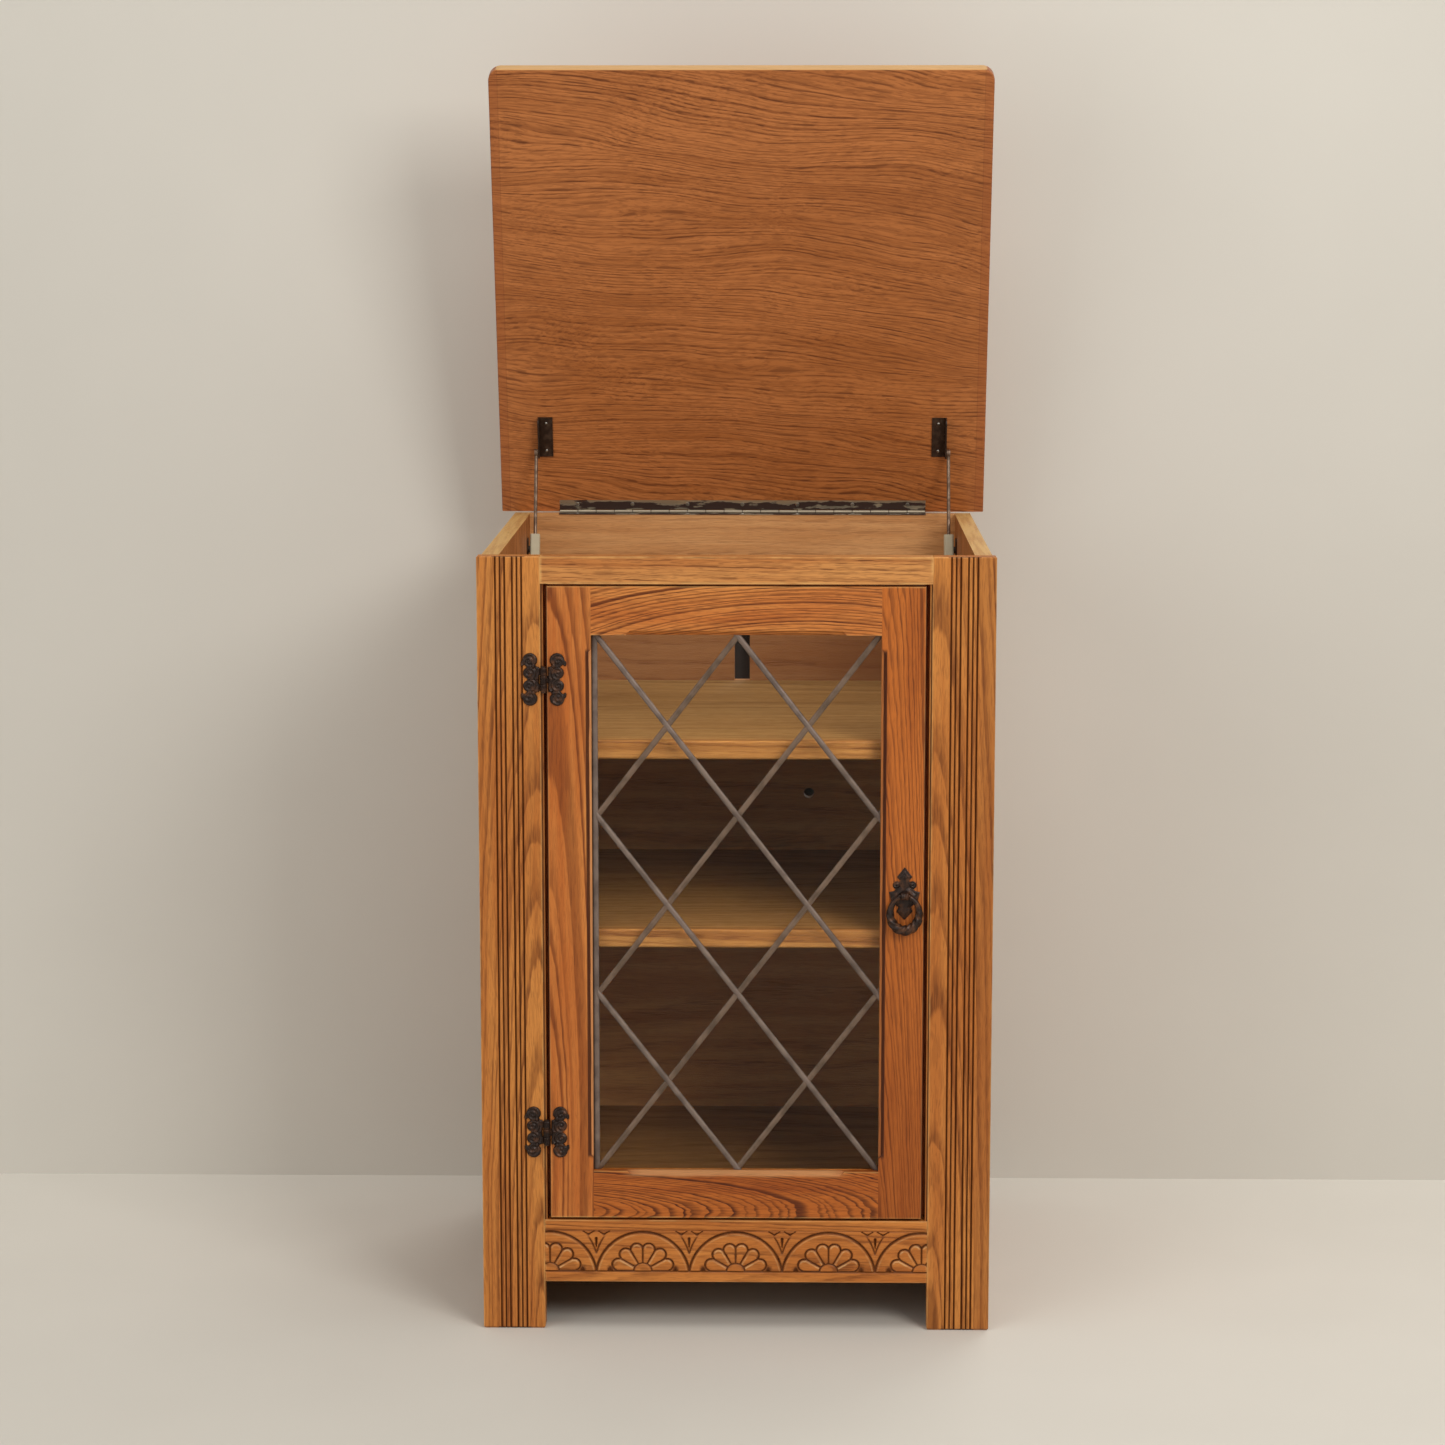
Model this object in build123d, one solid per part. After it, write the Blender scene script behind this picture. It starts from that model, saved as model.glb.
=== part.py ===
from build123d import *
from math import asin, atan2, cos, degrees, hypot, pi, radians, sin
import os

# Hi-fi cabinet: an oak carcass with a glazed door in front and a lift-up lid on a piano hinge.
# Millimetres, +Z up, +Y to the back. The origin is on the floor, under the middle of the whole
# cabinet with its lid up.

# Driving sizes of the carcass
cabinet_width = 540.0
cabinet_depth = 516.0
rim_height = 830.0
frame_thickness = 21.0
post_width = 66.0
top_rail_height = 28.4
apron_top = 120.0
apron_height = 68.0
side_inset = 4.0
side_thickness = 18.0
back_thickness = 15.0
bottom_thickness = 18.0
housing_depth = 6.0

# Grooves worked in the face of each post, in two groups either side of a plain band
groove_pitch = 4.7
groove_width = 2.8
groove_depth = 2.0
centre_band = 8.2
grooves_in_group = 3
foot_chamfer = 2.0
edge_ease = 1.0

# Strips between the posts and the door
door_bead_width = 3.0
door_bead_depth = 12.0
door_bead_setback = 2.0
door_bead_round = 1.4

# Shelves with a solid lipping on the front edge
shelf_thickness = 18.0
lipping_height = 20.0
lipping_depth = 12.0
lipping_round = 3.0
turntable_shelf_drop = 196.0
lower_shelf_top = 432.0
shelf_to_door = 3.0

# Openings for cables in the back board
cable_slot_width = 18.0
cable_slot_height = 65.0
cable_hole_diameter = 12.0
cable_hole_offset = 79.0
cable_hole_below_shelf = 134.0

# Glue blocks under the bottom board
glue_block_leg = 18.0
glue_block_length = 60.0
glue_block_end_gap = 40.0

# Door
door_thickness = 20.0
door_side_gap = 3.5
door_top_gap = 2.6
door_bottom_gap = 3.0
stile_width = 46.1
door_rail_height = 51.0
chamfer_size = 5.0
stile_chamfer_stop = 15.0
rail_chamfer_stop = 36.0
rebate_width = 8.0
front_lip = 8.5

# Glass, its beads and the lead strips stuck to its face
pane_thickness = 3.0
pane_play = 0.5
lead_width = 4.4
lead_thickness = 1.4
crossing_lead_thickness = 2.4
lead_clearance = 0.3
lattice_left_margin = 5.4
lattice_right_margin = 2.4
lattice_end_margin = 1.4
diamond_column_count = 2
diamond_row_count = 3
lead_crown_share = 0.45

# Cast hinges on the face of the door
hinge_axis_forward = 3.2
barrel_radius = 4.0
barrel_height = 24.8
hinge_pin_radius = 1.5
hinge_pin_head_radius = 2.7
hinge_pin_head_height = 1.5
running_clearance = 0.05
knuckle_gap = 0.3
leaf_from_axis = 4.6
leaf_plate_thickness = 2.0
leaf_root_width = 11.0
leaf_root_height = 27.0
bulge_radius = 5.3
bulge_out = 10.5
bulge_up = 6.7
lobe_radius = 8.3
lobe_out = 9.2
lobe_up = 19.2
hook_radius = 2.5
hook_out = 16.6
hook_up = 17.4
upper_hinge_drop = 97.5
lower_hinge_rise = 93.5

# Ring pull
pull_above_middle = 13.0
plate_thickness = 2.0
finial_rise = 30.3
finial_half_width = 8.2
finial_widest = 19.6
finial_neck_half_width = 4.6
finial_neck = 15.2
side_lobe_radius = 4.3
side_lobe_out = 8.2
side_lobe_up = 10.8
shoulder_half_width = 17.0
shoulder_up = 2.6
shoulder_drop = 7.0
pendant_neck_half_width = 5.6
pendant_neck = 13.4
pendant_half_width = 8.6
pendant_widest = 18.0
pendant_drop = 27.0
ring_axis_forward = 8.0
boss_width = 8.0
boss_round = 4.0
ring_pin_radius = 1.5
ring_half_width = 16.0
ring_drop = 39.0
ring_top_radius = 1.9
ring_bottom_radius = 5.0
ring_sides = 6
ring_section_count = 13
ring_twist_angle = 150.0
ring_twist_start_angle = 75.0
bolt_radius = 2.0
bolt_hole_clearance = 0.2
nut_size = 8.0
nut_thickness = 3.5
bolt_past_nut = 1.0

# Magnetic catch and its strike plate
catch_width = 40.0
catch_depth = 14.0
catch_height = 11.0
pole_width = 26.0
pole_thickness = 1.2
pole_stand = 1.4
pole_spacing = 5.0
strike_width = 30.0
strike_height = 12.0
strike_thickness = 1.0
catch_gap = 0.3

# Piano hinge
piano_end_margin = 34.0
piano_knuckle_count = 20
knuckle_radius = 2.2
piano_pin_radius = 1.1
piano_leaf_width = 14.0
piano_leaf_thickness = 1.0

# Lid
lid_side_overhang = 11.5
lid_thickness = 21.0
lid_front_overhang = 14.0
lid_corner_radius = 14.0
lid_under_round = 2.0
lid_top_round = 6.0
lid_open_angle = 73.0

# Friction stays of the lid
stay_from_side = 9.0
rod_radius = 2.0
rod_eye_radius = 4.5
rod_stop_radius = 3.2
rod_stop_length = 3.0
stay_pivot_along = 76.0
stay_pivot_drop = 8.0
lid_bracket_low = 69.0
lid_bracket_length = 48.0
lid_bracket_width = 17.0
bracket_thickness = 1.5
flange_below_pivot = 5.0
block_pivot_from_back = 66.0
block_pivot_drop = 37.0
block_width = 11.0
block_depth = 14.0
block_length = 34.0
block_chamfer = 1.5
side_bracket_depth = 18.0
side_bracket_height = 40.0
side_bracket_above = 13.0
side_bracket_chamfer = 2.0
stay_pin_radius = 2.5
stay_shoulder_radius = 4.0
stay_pin_in_block = 3.2
moving_gap = 0.3
overrun = 1.0

# Places worked out from the sizes
before_front = ring_axis_forward + ring_bottom_radius
lid_back_edge = knuckle_radius - piano_leaf_thickness + lid_thickness
behind_back = lid_back_edge * sin(radians(lid_open_angle)) - knuckle_radius
front = before_front - (before_front + cabinet_depth + behind_back) / 2
back = front + cabinet_depth
opening_half = cabinet_width / 2 - post_width
side_outer = cabinet_width / 2 - side_inset
side_inner = side_outer - side_thickness
turntable_shelf_top = rim_height - turntable_shelf_drop
frame_back = front + frame_thickness
back_inner = back - back_thickness
rail_bottom = rim_height - top_rail_height
apron_bottom = apron_top - apron_height
door_half = opening_half - door_bead_width - door_side_gap
door_bottom = apron_top + door_bottom_gap
door_top = rail_bottom - door_top_gap
door_back = front + door_thickness
sight_half = door_half - stile_width
sight_bottom = door_bottom + door_rail_height
sight_top = door_top - door_rail_height
pane_front = front + front_lip
pane_back = pane_front + pane_thickness
shelf_front = door_back + shelf_to_door
hinge_axis_x = -(opening_half + door_half) / 2
pull_x = (sight_half + chamfer_size + door_half) / 2
pull_height = (door_bottom + door_top) / 2 + pull_above_middle
pin_y = back - knuckle_radius
pin_z = rim_height + knuckle_radius - piano_leaf_thickness
lid_underside = pin_z + knuckle_radius - piano_leaf_thickness
lid_front = front - lid_front_overhang
piano_length = (side_inner - piano_end_margin) * 2
stay_offset = side_inner - stay_from_side
block_pivot_y = back - block_pivot_from_back
block_pivot_height = rim_height - block_pivot_drop

nodes = {}


def board(across, through, upright):
    """A plain board between two places on each axis."""
    spans = (across, through, upright)
    middle = [(low + high) / 2 for low, high in spans]
    size = [high - low for low, high in spans]
    return Pos(*middle) * Box(*size)


def bar_along_x(radius, start, end, y, z):
    """A round bar from one place across the cabinet to another."""
    return Pos((start + end) / 2, y, z) * Rot(0, 90, 0) * Cylinder(radius, abs(end - start))


def pin_upright(radius, bottom, top, x, y):
    """A round bar standing upright."""
    return Pos(x, y, (bottom + top) / 2) * Cylinder(radius, top - bottom)


def bar_through(radius, start, end, x, z):
    """A round bar from one place in the depth to another."""
    return Pos(x, (start + end) / 2, z) * Rot(90, 0, 0) * Cylinder(radius, end - start)


def other_side(shape):
    """The same piece on the left of the cabinet."""
    return mirror(shape, Plane.YZ)


# Front posts: the grooves are part of the section, so they run out at the top and the foot
def post_section():
    """Plan of a post with its face at y = 0 and its middle at x = 0."""
    half = post_width / 2
    half_groove = groove_width / 2
    offsets = [centre_band / 2 + groove_pitch * n for n in range(grooves_in_group)]
    groups = [sorted(-place for place in offsets), offsets]
    with BuildSketch() as section:
        with BuildLine():
            face_end = (-half, 0)
            for group in groups:
                entry = (group[0] - half_groove, 0)
                Polyline(face_end, entry, (group[0], groove_depth))
                for low, high in zip(group, group[1:]):
                    crown = ((low + high) / 2, 0)
                    ThreePointArc((low, groove_depth), crown, (high, groove_depth))
                face_end = (group[-1] + half_groove, 0)
                Line((group[-1], groove_depth), face_end)
            Polyline(face_end, (half, 0), (half, frame_thickness), (-half, frame_thickness), (-half, 0))
        make_face()
    return section.sketch


def front_post():
    """The right post; the left one is its mirror image."""
    middle = cabinet_width / 2 - post_width / 2
    post = Pos(middle, front, 0) * extrude(post_section(), rim_height)
    envelope = board((opening_half, cabinet_width / 2), (front, frame_back), (0, rim_height))
    envelope = chamfer(envelope.edges().group_by(Axis.Z)[0], foot_chamfer)
    envelope = chamfer(envelope.edges().group_by(Axis.Z)[-1], edge_ease)
    return post & envelope


right_post = front_post()
nodes["right_front_post"] = right_post
nodes["left_front_post"] = other_side(right_post)


# Side panels, housed on the inside for the shelves and the bottom board
def side_panel():
    panel = board((side_inner, side_outer), (frame_back, back), (0, rim_height))
    housing_x = (side_inner - overrun, side_inner + housing_depth)
    for top, thickness, start in (
        (turntable_shelf_top, shelf_thickness, shelf_front),
        (lower_shelf_top, shelf_thickness, shelf_front),
        (apron_top, bottom_thickness, frame_back),
    ):
        panel -= board(housing_x, (start, back_inner), (top - thickness, top))
    return panel


right_panel = side_panel()
nodes["right_side_panel"] = right_panel
nodes["left_side_panel"] = other_side(right_panel)


# Rail and apron between the posts
top_rail = board((-opening_half, opening_half), (front, frame_back), (rail_bottom, rim_height))
nodes["front_top_rail"] = fillet(top_rail.edges().filter_by(Axis.X).group_by(Axis.Z)[-1], edge_ease)

apron = board((-opening_half, opening_half), (front, frame_back), (apron_bottom, apron_top))
nodes["front_apron"] = fillet(apron.edges().filter_by(Axis.X).group_by(Axis.Z)[0], edge_ease)


# Beads that line the door opening beside the posts
bead_front = front + door_bead_setback
bead = board(
    (opening_half - door_bead_width, opening_half),
    (bead_front, bead_front + door_bead_depth),
    (apron_top, rail_bottom),
)
bead = fillet(bead.edges().filter_by(Axis.Z).group_by(Axis.Y)[0].sort_by(Axis.X)[0], door_bead_round)
nodes["right_door_bead"] = bead
nodes["left_door_bead"] = other_side(bead)


# Back board: the piano hinge is let into its top edge, and cables leave through a slot and a hole
def back_board():
    panel = board((-side_inner, side_inner), (back_inner, back), (apron_bottom, rim_height))
    hinge_span = (-piano_length / 2, piano_length / 2)
    leaf_seat = rim_height - piano_leaf_thickness
    panel -= board(hinge_span, (back_inner - overrun, back + overrun), (leaf_seat, rim_height + overrun))
    knuckle_front = pin_y - knuckle_radius - moving_gap
    groove_floor = leaf_seat - moving_gap
    panel -= board(hinge_span, (knuckle_front, back + overrun), (groove_floor, rim_height + overrun))
    through = (back_inner - overrun, back + overrun)
    slot_half = cable_slot_width / 2
    slot_round = turntable_shelf_top + cable_slot_height - slot_half
    panel -= board((-slot_half, slot_half), through, (turntable_shelf_top, slot_round))
    panel -= bar_through(slot_half, *through, 0, slot_round)
    cable_hole_height = turntable_shelf_top - cable_hole_below_shelf
    panel -= bar_through(cable_hole_diameter / 2, *through, cable_hole_offset, cable_hole_height)
    return panel


nodes["back_board"] = back_board()


# Bottom board and the glue blocks under its ends
housed_half = side_inner + housing_depth
bottom_underside = apron_top - bottom_thickness
nodes["bottom_board"] = board(
    (-housed_half, housed_half), (frame_back, back_inner), (bottom_underside, apron_top)
)


def glue_blocks():
    """Triangular blocks in the corners between the side panels and the bottom board."""
    corner = Polyline((0, 0), (-glue_block_leg, 0), (0, -glue_block_leg), close=True)
    block = extrude(Plane.XZ * make_face(corner), glue_block_length / 2, both=True)
    reach = glue_block_end_gap + glue_block_length / 2
    blocks = []
    for y in (frame_back + reach, back_inner - reach):
        right = Pos(side_inner, y, bottom_underside) * block
        blocks += [right, other_side(right)]
    return Compound(children=blocks)


nodes["glue_blocks"] = glue_blocks()


# Shelves
def shelf(top):
    """A shelf board, housed in the side panels, and the lipping on its front edge."""
    lipping_back = shelf_front + lipping_depth
    panel = board((-housed_half, housed_half), (lipping_back, back_inner), (top - shelf_thickness, top))
    lipping = board((-side_inner, side_inner), (shelf_front, lipping_back), (top - lipping_height, top))
    front_edges = lipping.edges().filter_by(Axis.X).group_by(Axis.Y)[0]
    return panel, fillet(front_edges, lipping_round)


nodes["turntable_shelf"], nodes["turntable_shelf_lipping"] = shelf(turntable_shelf_top)
nodes["lower_shelf"], nodes["lower_shelf_lipping"] = shelf(lower_shelf_top)


# Door frame: full-height stiles, rails between them, stopped chamfers round the glass
def stopped_chamfer(length):
    """Cutter along X for an edge at the origin: the wood is below and behind it."""
    reach = chamfer_size + overrun
    corner = Polyline((-overrun, -reach), (reach, overrun), (-overrun, overrun), close=True)
    prism = extrude(Plane.YZ * make_face(corner), length, both=True)
    half = length / 2
    inner = half - reach
    outer = half + overrun
    front_view = Polyline((-outer, overrun), (outer, overrun), (inner, -reach), (-inner, -reach), close=True)
    run = extrude(Plane.XZ * make_face(front_view), reach * 2, both=True)
    return prism & run


def door_stile():
    """The right stile; the left one is its mirror image before the pull's hole is drilled."""
    stile = board((sight_half, door_half), (front, door_back), (door_bottom, door_top))
    run = sight_top - sight_bottom - stile_chamfer_stop * 2
    middle = (sight_top + sight_bottom) / 2
    stile -= Pos(sight_half, front, middle) * Rot(0, -90, 0) * stopped_chamfer(run)
    rebate = board(
        (sight_half - overrun, sight_half + rebate_width),
        (pane_front, door_back + overrun),
        (sight_bottom - rebate_width, sight_top + rebate_width),
    )
    return stile - rebate


def door_rail(low, high, sight_edge, turn, rebate_low, rebate_high):
    """A rail between the stiles, chamfered on its edge beside the glass."""
    rail = board((-sight_half, sight_half), (front, door_back), (low, high))
    run = sight_half * 2 - rail_chamfer_stop * 2
    rail -= Pos(0, front, sight_edge) * Rot(0, turn, 0) * stopped_chamfer(run)
    across = (-sight_half - overrun, sight_half + overrun)
    return rail - board(across, (pane_front, door_back + overrun), (rebate_low, rebate_high))


plain_stile = door_stile()
nodes["left_door_stile"] = other_side(plain_stile)
bolt_hole = bolt_radius + bolt_hole_clearance
nodes["right_door_stile"] = plain_stile - bar_through(
    bolt_hole, front - overrun, door_back + overrun, pull_x, pull_height
)
nodes["door_top_rail"] = door_rail(
    sight_top, door_top, sight_top, 180, sight_top - overrun, sight_top + rebate_width
)
nodes["door_bottom_rail"] = door_rail(
    door_bottom, sight_bottom, sight_bottom, 0, sight_bottom - rebate_width, sight_bottom + overrun
)


# Glass pane and the beads that hold it from behind
rebate_half = sight_half + rebate_width
rebate_bottom = sight_bottom - rebate_width
rebate_top = sight_top + rebate_width
pane_half = rebate_half - pane_play
nodes["glass_pane"] = board(
    (-pane_half, pane_half), (pane_front, pane_back), (rebate_bottom + pane_play, rebate_top - pane_play)
)
bead_depth = (pane_back, door_back)
bead_round = min(rebate_width, door_back - pane_back) - edge_ease
for name, across, upright, inner_edge in (
    ("top", (-rebate_half, rebate_half), (sight_top, rebate_top), (Axis.X, Axis.Z, 0)),
    ("bottom", (-rebate_half, rebate_half), (rebate_bottom, sight_bottom), (Axis.X, Axis.Z, -1)),
    ("left", (-rebate_half, -sight_half), (sight_bottom, sight_top), (Axis.Z, Axis.X, -1)),
    ("right", (sight_half, rebate_half), (sight_bottom, sight_top), (Axis.Z, Axis.X, 0)),
):
    along, towards_glass, end = inner_edge
    strip = board(across, bead_depth, upright)
    edges = strip.edges().filter_by(along).group_by(towards_glass)[end]
    nodes[f"{name}_glazing_bead"] = fillet(edges.sort_by(Axis.Y)[-1], bead_round)


# Lead strips: low strips stuck to the face of the pane, the falling ones laid over the rising ones
def lead_strip(thickness, length):
    """A strip along X with its back at y = 0, its sides sloped up to a flat crown in front."""
    half = lead_width / 2
    crown = half * lead_crown_share
    outline = Polyline((0, -half), (-thickness, -crown), (-thickness, crown), (0, half), close=True)
    return extrude(Plane.YZ * make_face(outline), length / 2, both=True)


def diagonal_leads(slope, thickness):
    """Every strip of the lattice that runs one way, cut off at the frame and the edge strip."""
    lattice_left = lattice_left_margin - sight_half
    lattice_right = sight_half - lattice_right_margin
    lattice_height = sight_top - sight_bottom - lattice_end_margin * 2
    step_x = (lattice_right - lattice_left) / (diamond_column_count * 2)
    step_z = lattice_height / (diamond_row_count * 2)
    steps = (diamond_column_count + diamond_row_count) * 2
    length = hypot(step_x, step_z) * steps
    angle = degrees(atan2(step_z, step_x)) * slope
    opening = board(
        (lead_clearance + lead_width - sight_half, sight_half - lead_clearance),
        (pane_front - crossing_lead_thickness * 2, pane_front),
        (sight_bottom + lead_clearance, sight_top - lead_clearance),
    )
    strips = []
    for step in range(2, steps, 2):
        rise = step_z * (step - steps / 2)
        middle_x = (lattice_left + lattice_right) / 2
        middle = Pos(middle_x, pane_front, (sight_bottom + sight_top) / 2 + rise)
        strips.append(middle * Rot(0, -angle, 0) * lead_strip(thickness, length) & opening)
    return strips


rising_leads = diagonal_leads(1, lead_thickness)
falling_leads = diagonal_leads(-1, crossing_lead_thickness)
falling_leads = [strip - rising_leads for strip in falling_leads]
nodes["rising_lead_strips"] = Compound(children=rising_leads)
nodes["falling_lead_strips"] = Compound(children=falling_leads)
edge_strip_x = lead_clearance + lead_width / 2 - sight_half
edge_strip_length = sight_top - sight_bottom - lead_clearance * 2
edge_strip = Rot(0, 90, 0) * lead_strip(lead_thickness, edge_strip_length)
nodes["edge_lead_strip"] = Pos(edge_strip_x, pane_front, (sight_bottom + sight_top) / 2) * edge_strip


# Cast hinges: each leaf has two bulges and a lobe with a curled tip at either end
def leaf_outline():
    """Half-hinge seen from the front: the barrel is at x = 0 and the leaf goes towards +X."""
    root = leaf_from_axis + leaf_root_width / 2
    outline = Pos(root, 0) * Rectangle(leaf_root_width, leaf_root_height)
    for up in (-1, 1):
        outline += Pos(leaf_from_axis + bulge_out, bulge_up * up) * Circle(bulge_radius)
        outline += Pos(leaf_from_axis + lobe_out, lobe_up * up) * Circle(lobe_radius)
        outline += Pos(leaf_from_axis + hook_out, hook_up * up) * Circle(hook_radius)
    return outline


def hinge_leaf(knuckle_spans):
    """A leaf on the face at y = 0 with its knuckles round an upright pin at x = 0."""
    leaf = extrude(Plane.XZ * leaf_outline(), leaf_plate_thickness)
    web_reach = leaf_from_axis + leaf_root_width / 2
    for low, high in knuckle_spans:
        leaf += pin_upright(barrel_radius, low, high, 0, -hinge_axis_forward)
        leaf += board((0, web_reach), (-leaf_plate_thickness, -moving_gap), (low, high))
    bore = hinge_pin_radius + running_clearance
    half = barrel_height / 2 + overrun
    return leaf - pin_upright(bore, -half, half, 0, -hinge_axis_forward)


def hinge_pin():
    """The pin of a hinge, with a small head at either end."""
    half = barrel_height / 2
    pin = pin_upright(hinge_pin_radius, -half, half, 0, -hinge_axis_forward)
    head_end = half + hinge_pin_head_height
    pin += pin_upright(hinge_pin_head_radius, half, head_end, 0, -hinge_axis_forward)
    return pin + pin_upright(hinge_pin_head_radius, -head_end, -half, 0, -hinge_axis_forward)


knuckle_height = (barrel_height - knuckle_gap * 2) / 3
middle_knuckle = (-knuckle_height / 2, knuckle_height / 2)
end_knuckles = (
    (-barrel_height / 2, -knuckle_height / 2 - knuckle_gap),
    (knuckle_height / 2 + knuckle_gap, barrel_height / 2),
)
door_leaf = hinge_leaf([middle_knuckle])
post_leaf = other_side(hinge_leaf(end_knuckles))
for name, height in (("upper", door_top - upper_hinge_drop), ("lower", door_bottom + lower_hinge_rise)):
    place = Pos(hinge_axis_x, front, height)
    nodes[f"{name}_hinge_door_leaf"] = place * door_leaf
    nodes[f"{name}_hinge_post_leaf"] = place * post_leaf
    nodes[f"{name}_hinge_pin"] = place * hinge_pin()


# Ring pull: backplate with its boss, the ring that hangs from it, and the bolt and nut behind
def pull_outline():
    """Backplate seen from the front, with the ring's axis at the origin."""
    right = [
        (0, finial_rise),
        (finial_half_width, finial_widest),
        (finial_neck_half_width, finial_neck),
        (finial_neck_half_width, side_lobe_up - side_lobe_radius),
        (shoulder_half_width, shoulder_up),
        (shoulder_half_width - side_lobe_radius, -shoulder_drop),
        (pendant_neck_half_width, -pendant_neck),
        (pendant_half_width, -pendant_widest),
        (0, -pendant_drop),
    ]
    left = [(-x, z) for x, z in reversed(right[1:-1])]
    outline = make_face(Polyline(*right, *left, close=True))
    for side in (-1, 1):
        outline += Pos(side_lobe_out * side, side_lobe_up) * Circle(side_lobe_radius)
    return outline


def pull_backplate():
    plate = extrude(Plane.XZ * pull_outline(), plate_thickness)
    half = boss_width / 2
    plate += board((-half, half), (-ring_axis_forward, 0), (-boss_round, boss_round))
    plate += bar_along_x(boss_round, -half, half, -ring_axis_forward, 0)
    bore = ring_pin_radius + running_clearance
    return plate - bar_along_x(bore, -half - overrun, half + overrun, -ring_axis_forward, 0)


def ring_section(turn):
    """Section of the ring, turned from its top: thin at the pin, thick and twisted at the bottom."""
    height = ring_drop / 2
    centre = Vector(ring_half_width * sin(turn), 0, height * cos(turn) - height)
    along = Vector(ring_half_width * cos(turn), 0, -height * sin(turn))
    growth = sin(turn / 2) ** 2
    radius = ring_top_radius + (ring_bottom_radius - ring_top_radius) * growth
    twist_start = radians(ring_twist_start_angle)
    twist = max(turn - twist_start, 0) / (pi - twist_start) * ring_twist_angle
    section = Rot(0, 0, twist) * RegularPolygon(radius, ring_sides)
    return Plane(origin=centre, x_dir=(0, 1, 0), z_dir=along) * section


def pull_ring():
    """Two arms that meet at the bottom, and the pin between their upper ends."""
    arm_start = boss_width / 2 + moving_gap + ring_top_radius / 2
    start = asin(arm_start / ring_half_width)
    step = (pi - start) / (ring_section_count - 1)
    arm = loft([ring_section(start + step * n) for n in range(ring_section_count)], ruled=True)
    pin_end = arm_start + ring_top_radius / 2
    return arm + other_side(arm) + bar_along_x(ring_pin_radius, -pin_end, pin_end, 0, 0)


pull_place = Pos(pull_x, front, pull_height)
nodes["pull_backplate"] = pull_place * pull_backplate()
nodes["pull_ring"] = pull_place * Pos(0, -ring_axis_forward, 0) * pull_ring()
bolt_end = door_back + nut_thickness + bolt_past_nut
nodes["pull_bolt"] = bar_through(bolt_radius, front, bolt_end, pull_x, pull_height)
nut_half = nut_size / 2
pull_nut = board(
    (pull_x - nut_half, pull_x + nut_half),
    (door_back, door_back + nut_thickness),
    (pull_height - nut_half, pull_height + nut_half),
)
nut_bore = bolt_radius + running_clearance
nodes["pull_nut"] = pull_nut - bar_through(
    nut_bore, door_back - overrun, bolt_end + overrun, pull_x, pull_height
)


# Magnetic catch under the turntable shelf, and the strike plate on the back of the door
strike_back = door_back + strike_thickness
pole_front = strike_back + catch_gap
case_front = pole_front + pole_stand
catch_top = turntable_shelf_top - lipping_height
catch_middle = catch_top - catch_height / 2
catch = board(
    (pull_x - catch_width / 2, pull_x + catch_width / 2),
    (case_front, case_front + catch_depth),
    (catch_top - catch_height, catch_top),
)
catch = fillet(catch.edges().filter_by(Axis.Z), pole_stand)
for side in (-1, 1):
    level = catch_middle + side * pole_spacing / 2
    catch += board(
        (pull_x - pole_width / 2, pull_x + pole_width / 2),
        (pole_front, case_front + pole_stand),
        (level - pole_thickness / 2, level + pole_thickness / 2),
    )
nodes["magnetic_catch"] = catch
nodes["strike_plate"] = board(
    (pull_x - strike_width / 2, pull_x + strike_width / 2),
    (door_back, strike_back),
    (catch_middle - strike_height / 2, catch_middle + strike_height / 2),
)


# Everything on the lid is placed as if it were shut and then swung open about the hinge's pin
def swing_open(shape):
    return shape.rotate(Axis((0, pin_y, pin_z), (1, 0, 0)), -lid_open_angle)


def piano_leaf(first, plate_z):
    """A leaf with every second knuckle; it lies in front of the pin at the height plate_z."""
    pitch = piano_length / piano_knuckle_count
    plate_top = plate_z + piano_leaf_thickness
    plate_back = pin_y - knuckle_radius - moving_gap
    leaf = board(
        (-piano_length / 2, piano_length / 2), (pin_y - piano_leaf_width, plate_back), (plate_z, plate_top)
    )
    knuckles = []
    for number in range(first, piano_knuckle_count, 2):
        start = -piano_length / 2 + pitch * number + knuckle_gap / 2
        end = start + pitch - knuckle_gap
        web = board((start, end), (plate_back - moving_gap, pin_y), (plate_z, plate_top))
        knuckles += [web, bar_along_x(knuckle_radius, start, end, pin_y, pin_z)]
    leaf = leaf + knuckles
    bore = piano_pin_radius + running_clearance
    past = piano_length / 2 + overrun
    return leaf - bar_along_x(bore, -past, past, pin_y, pin_z)


nodes["piano_hinge_fixed_leaf"] = piano_leaf(0, pin_z - knuckle_radius)
nodes["piano_hinge_lid_leaf"] = swing_open(piano_leaf(1, lid_underside))
nodes["piano_hinge_pin"] = bar_along_x(
    piano_pin_radius, -piano_length / 2, piano_length / 2, pin_y, pin_z
)


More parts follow.
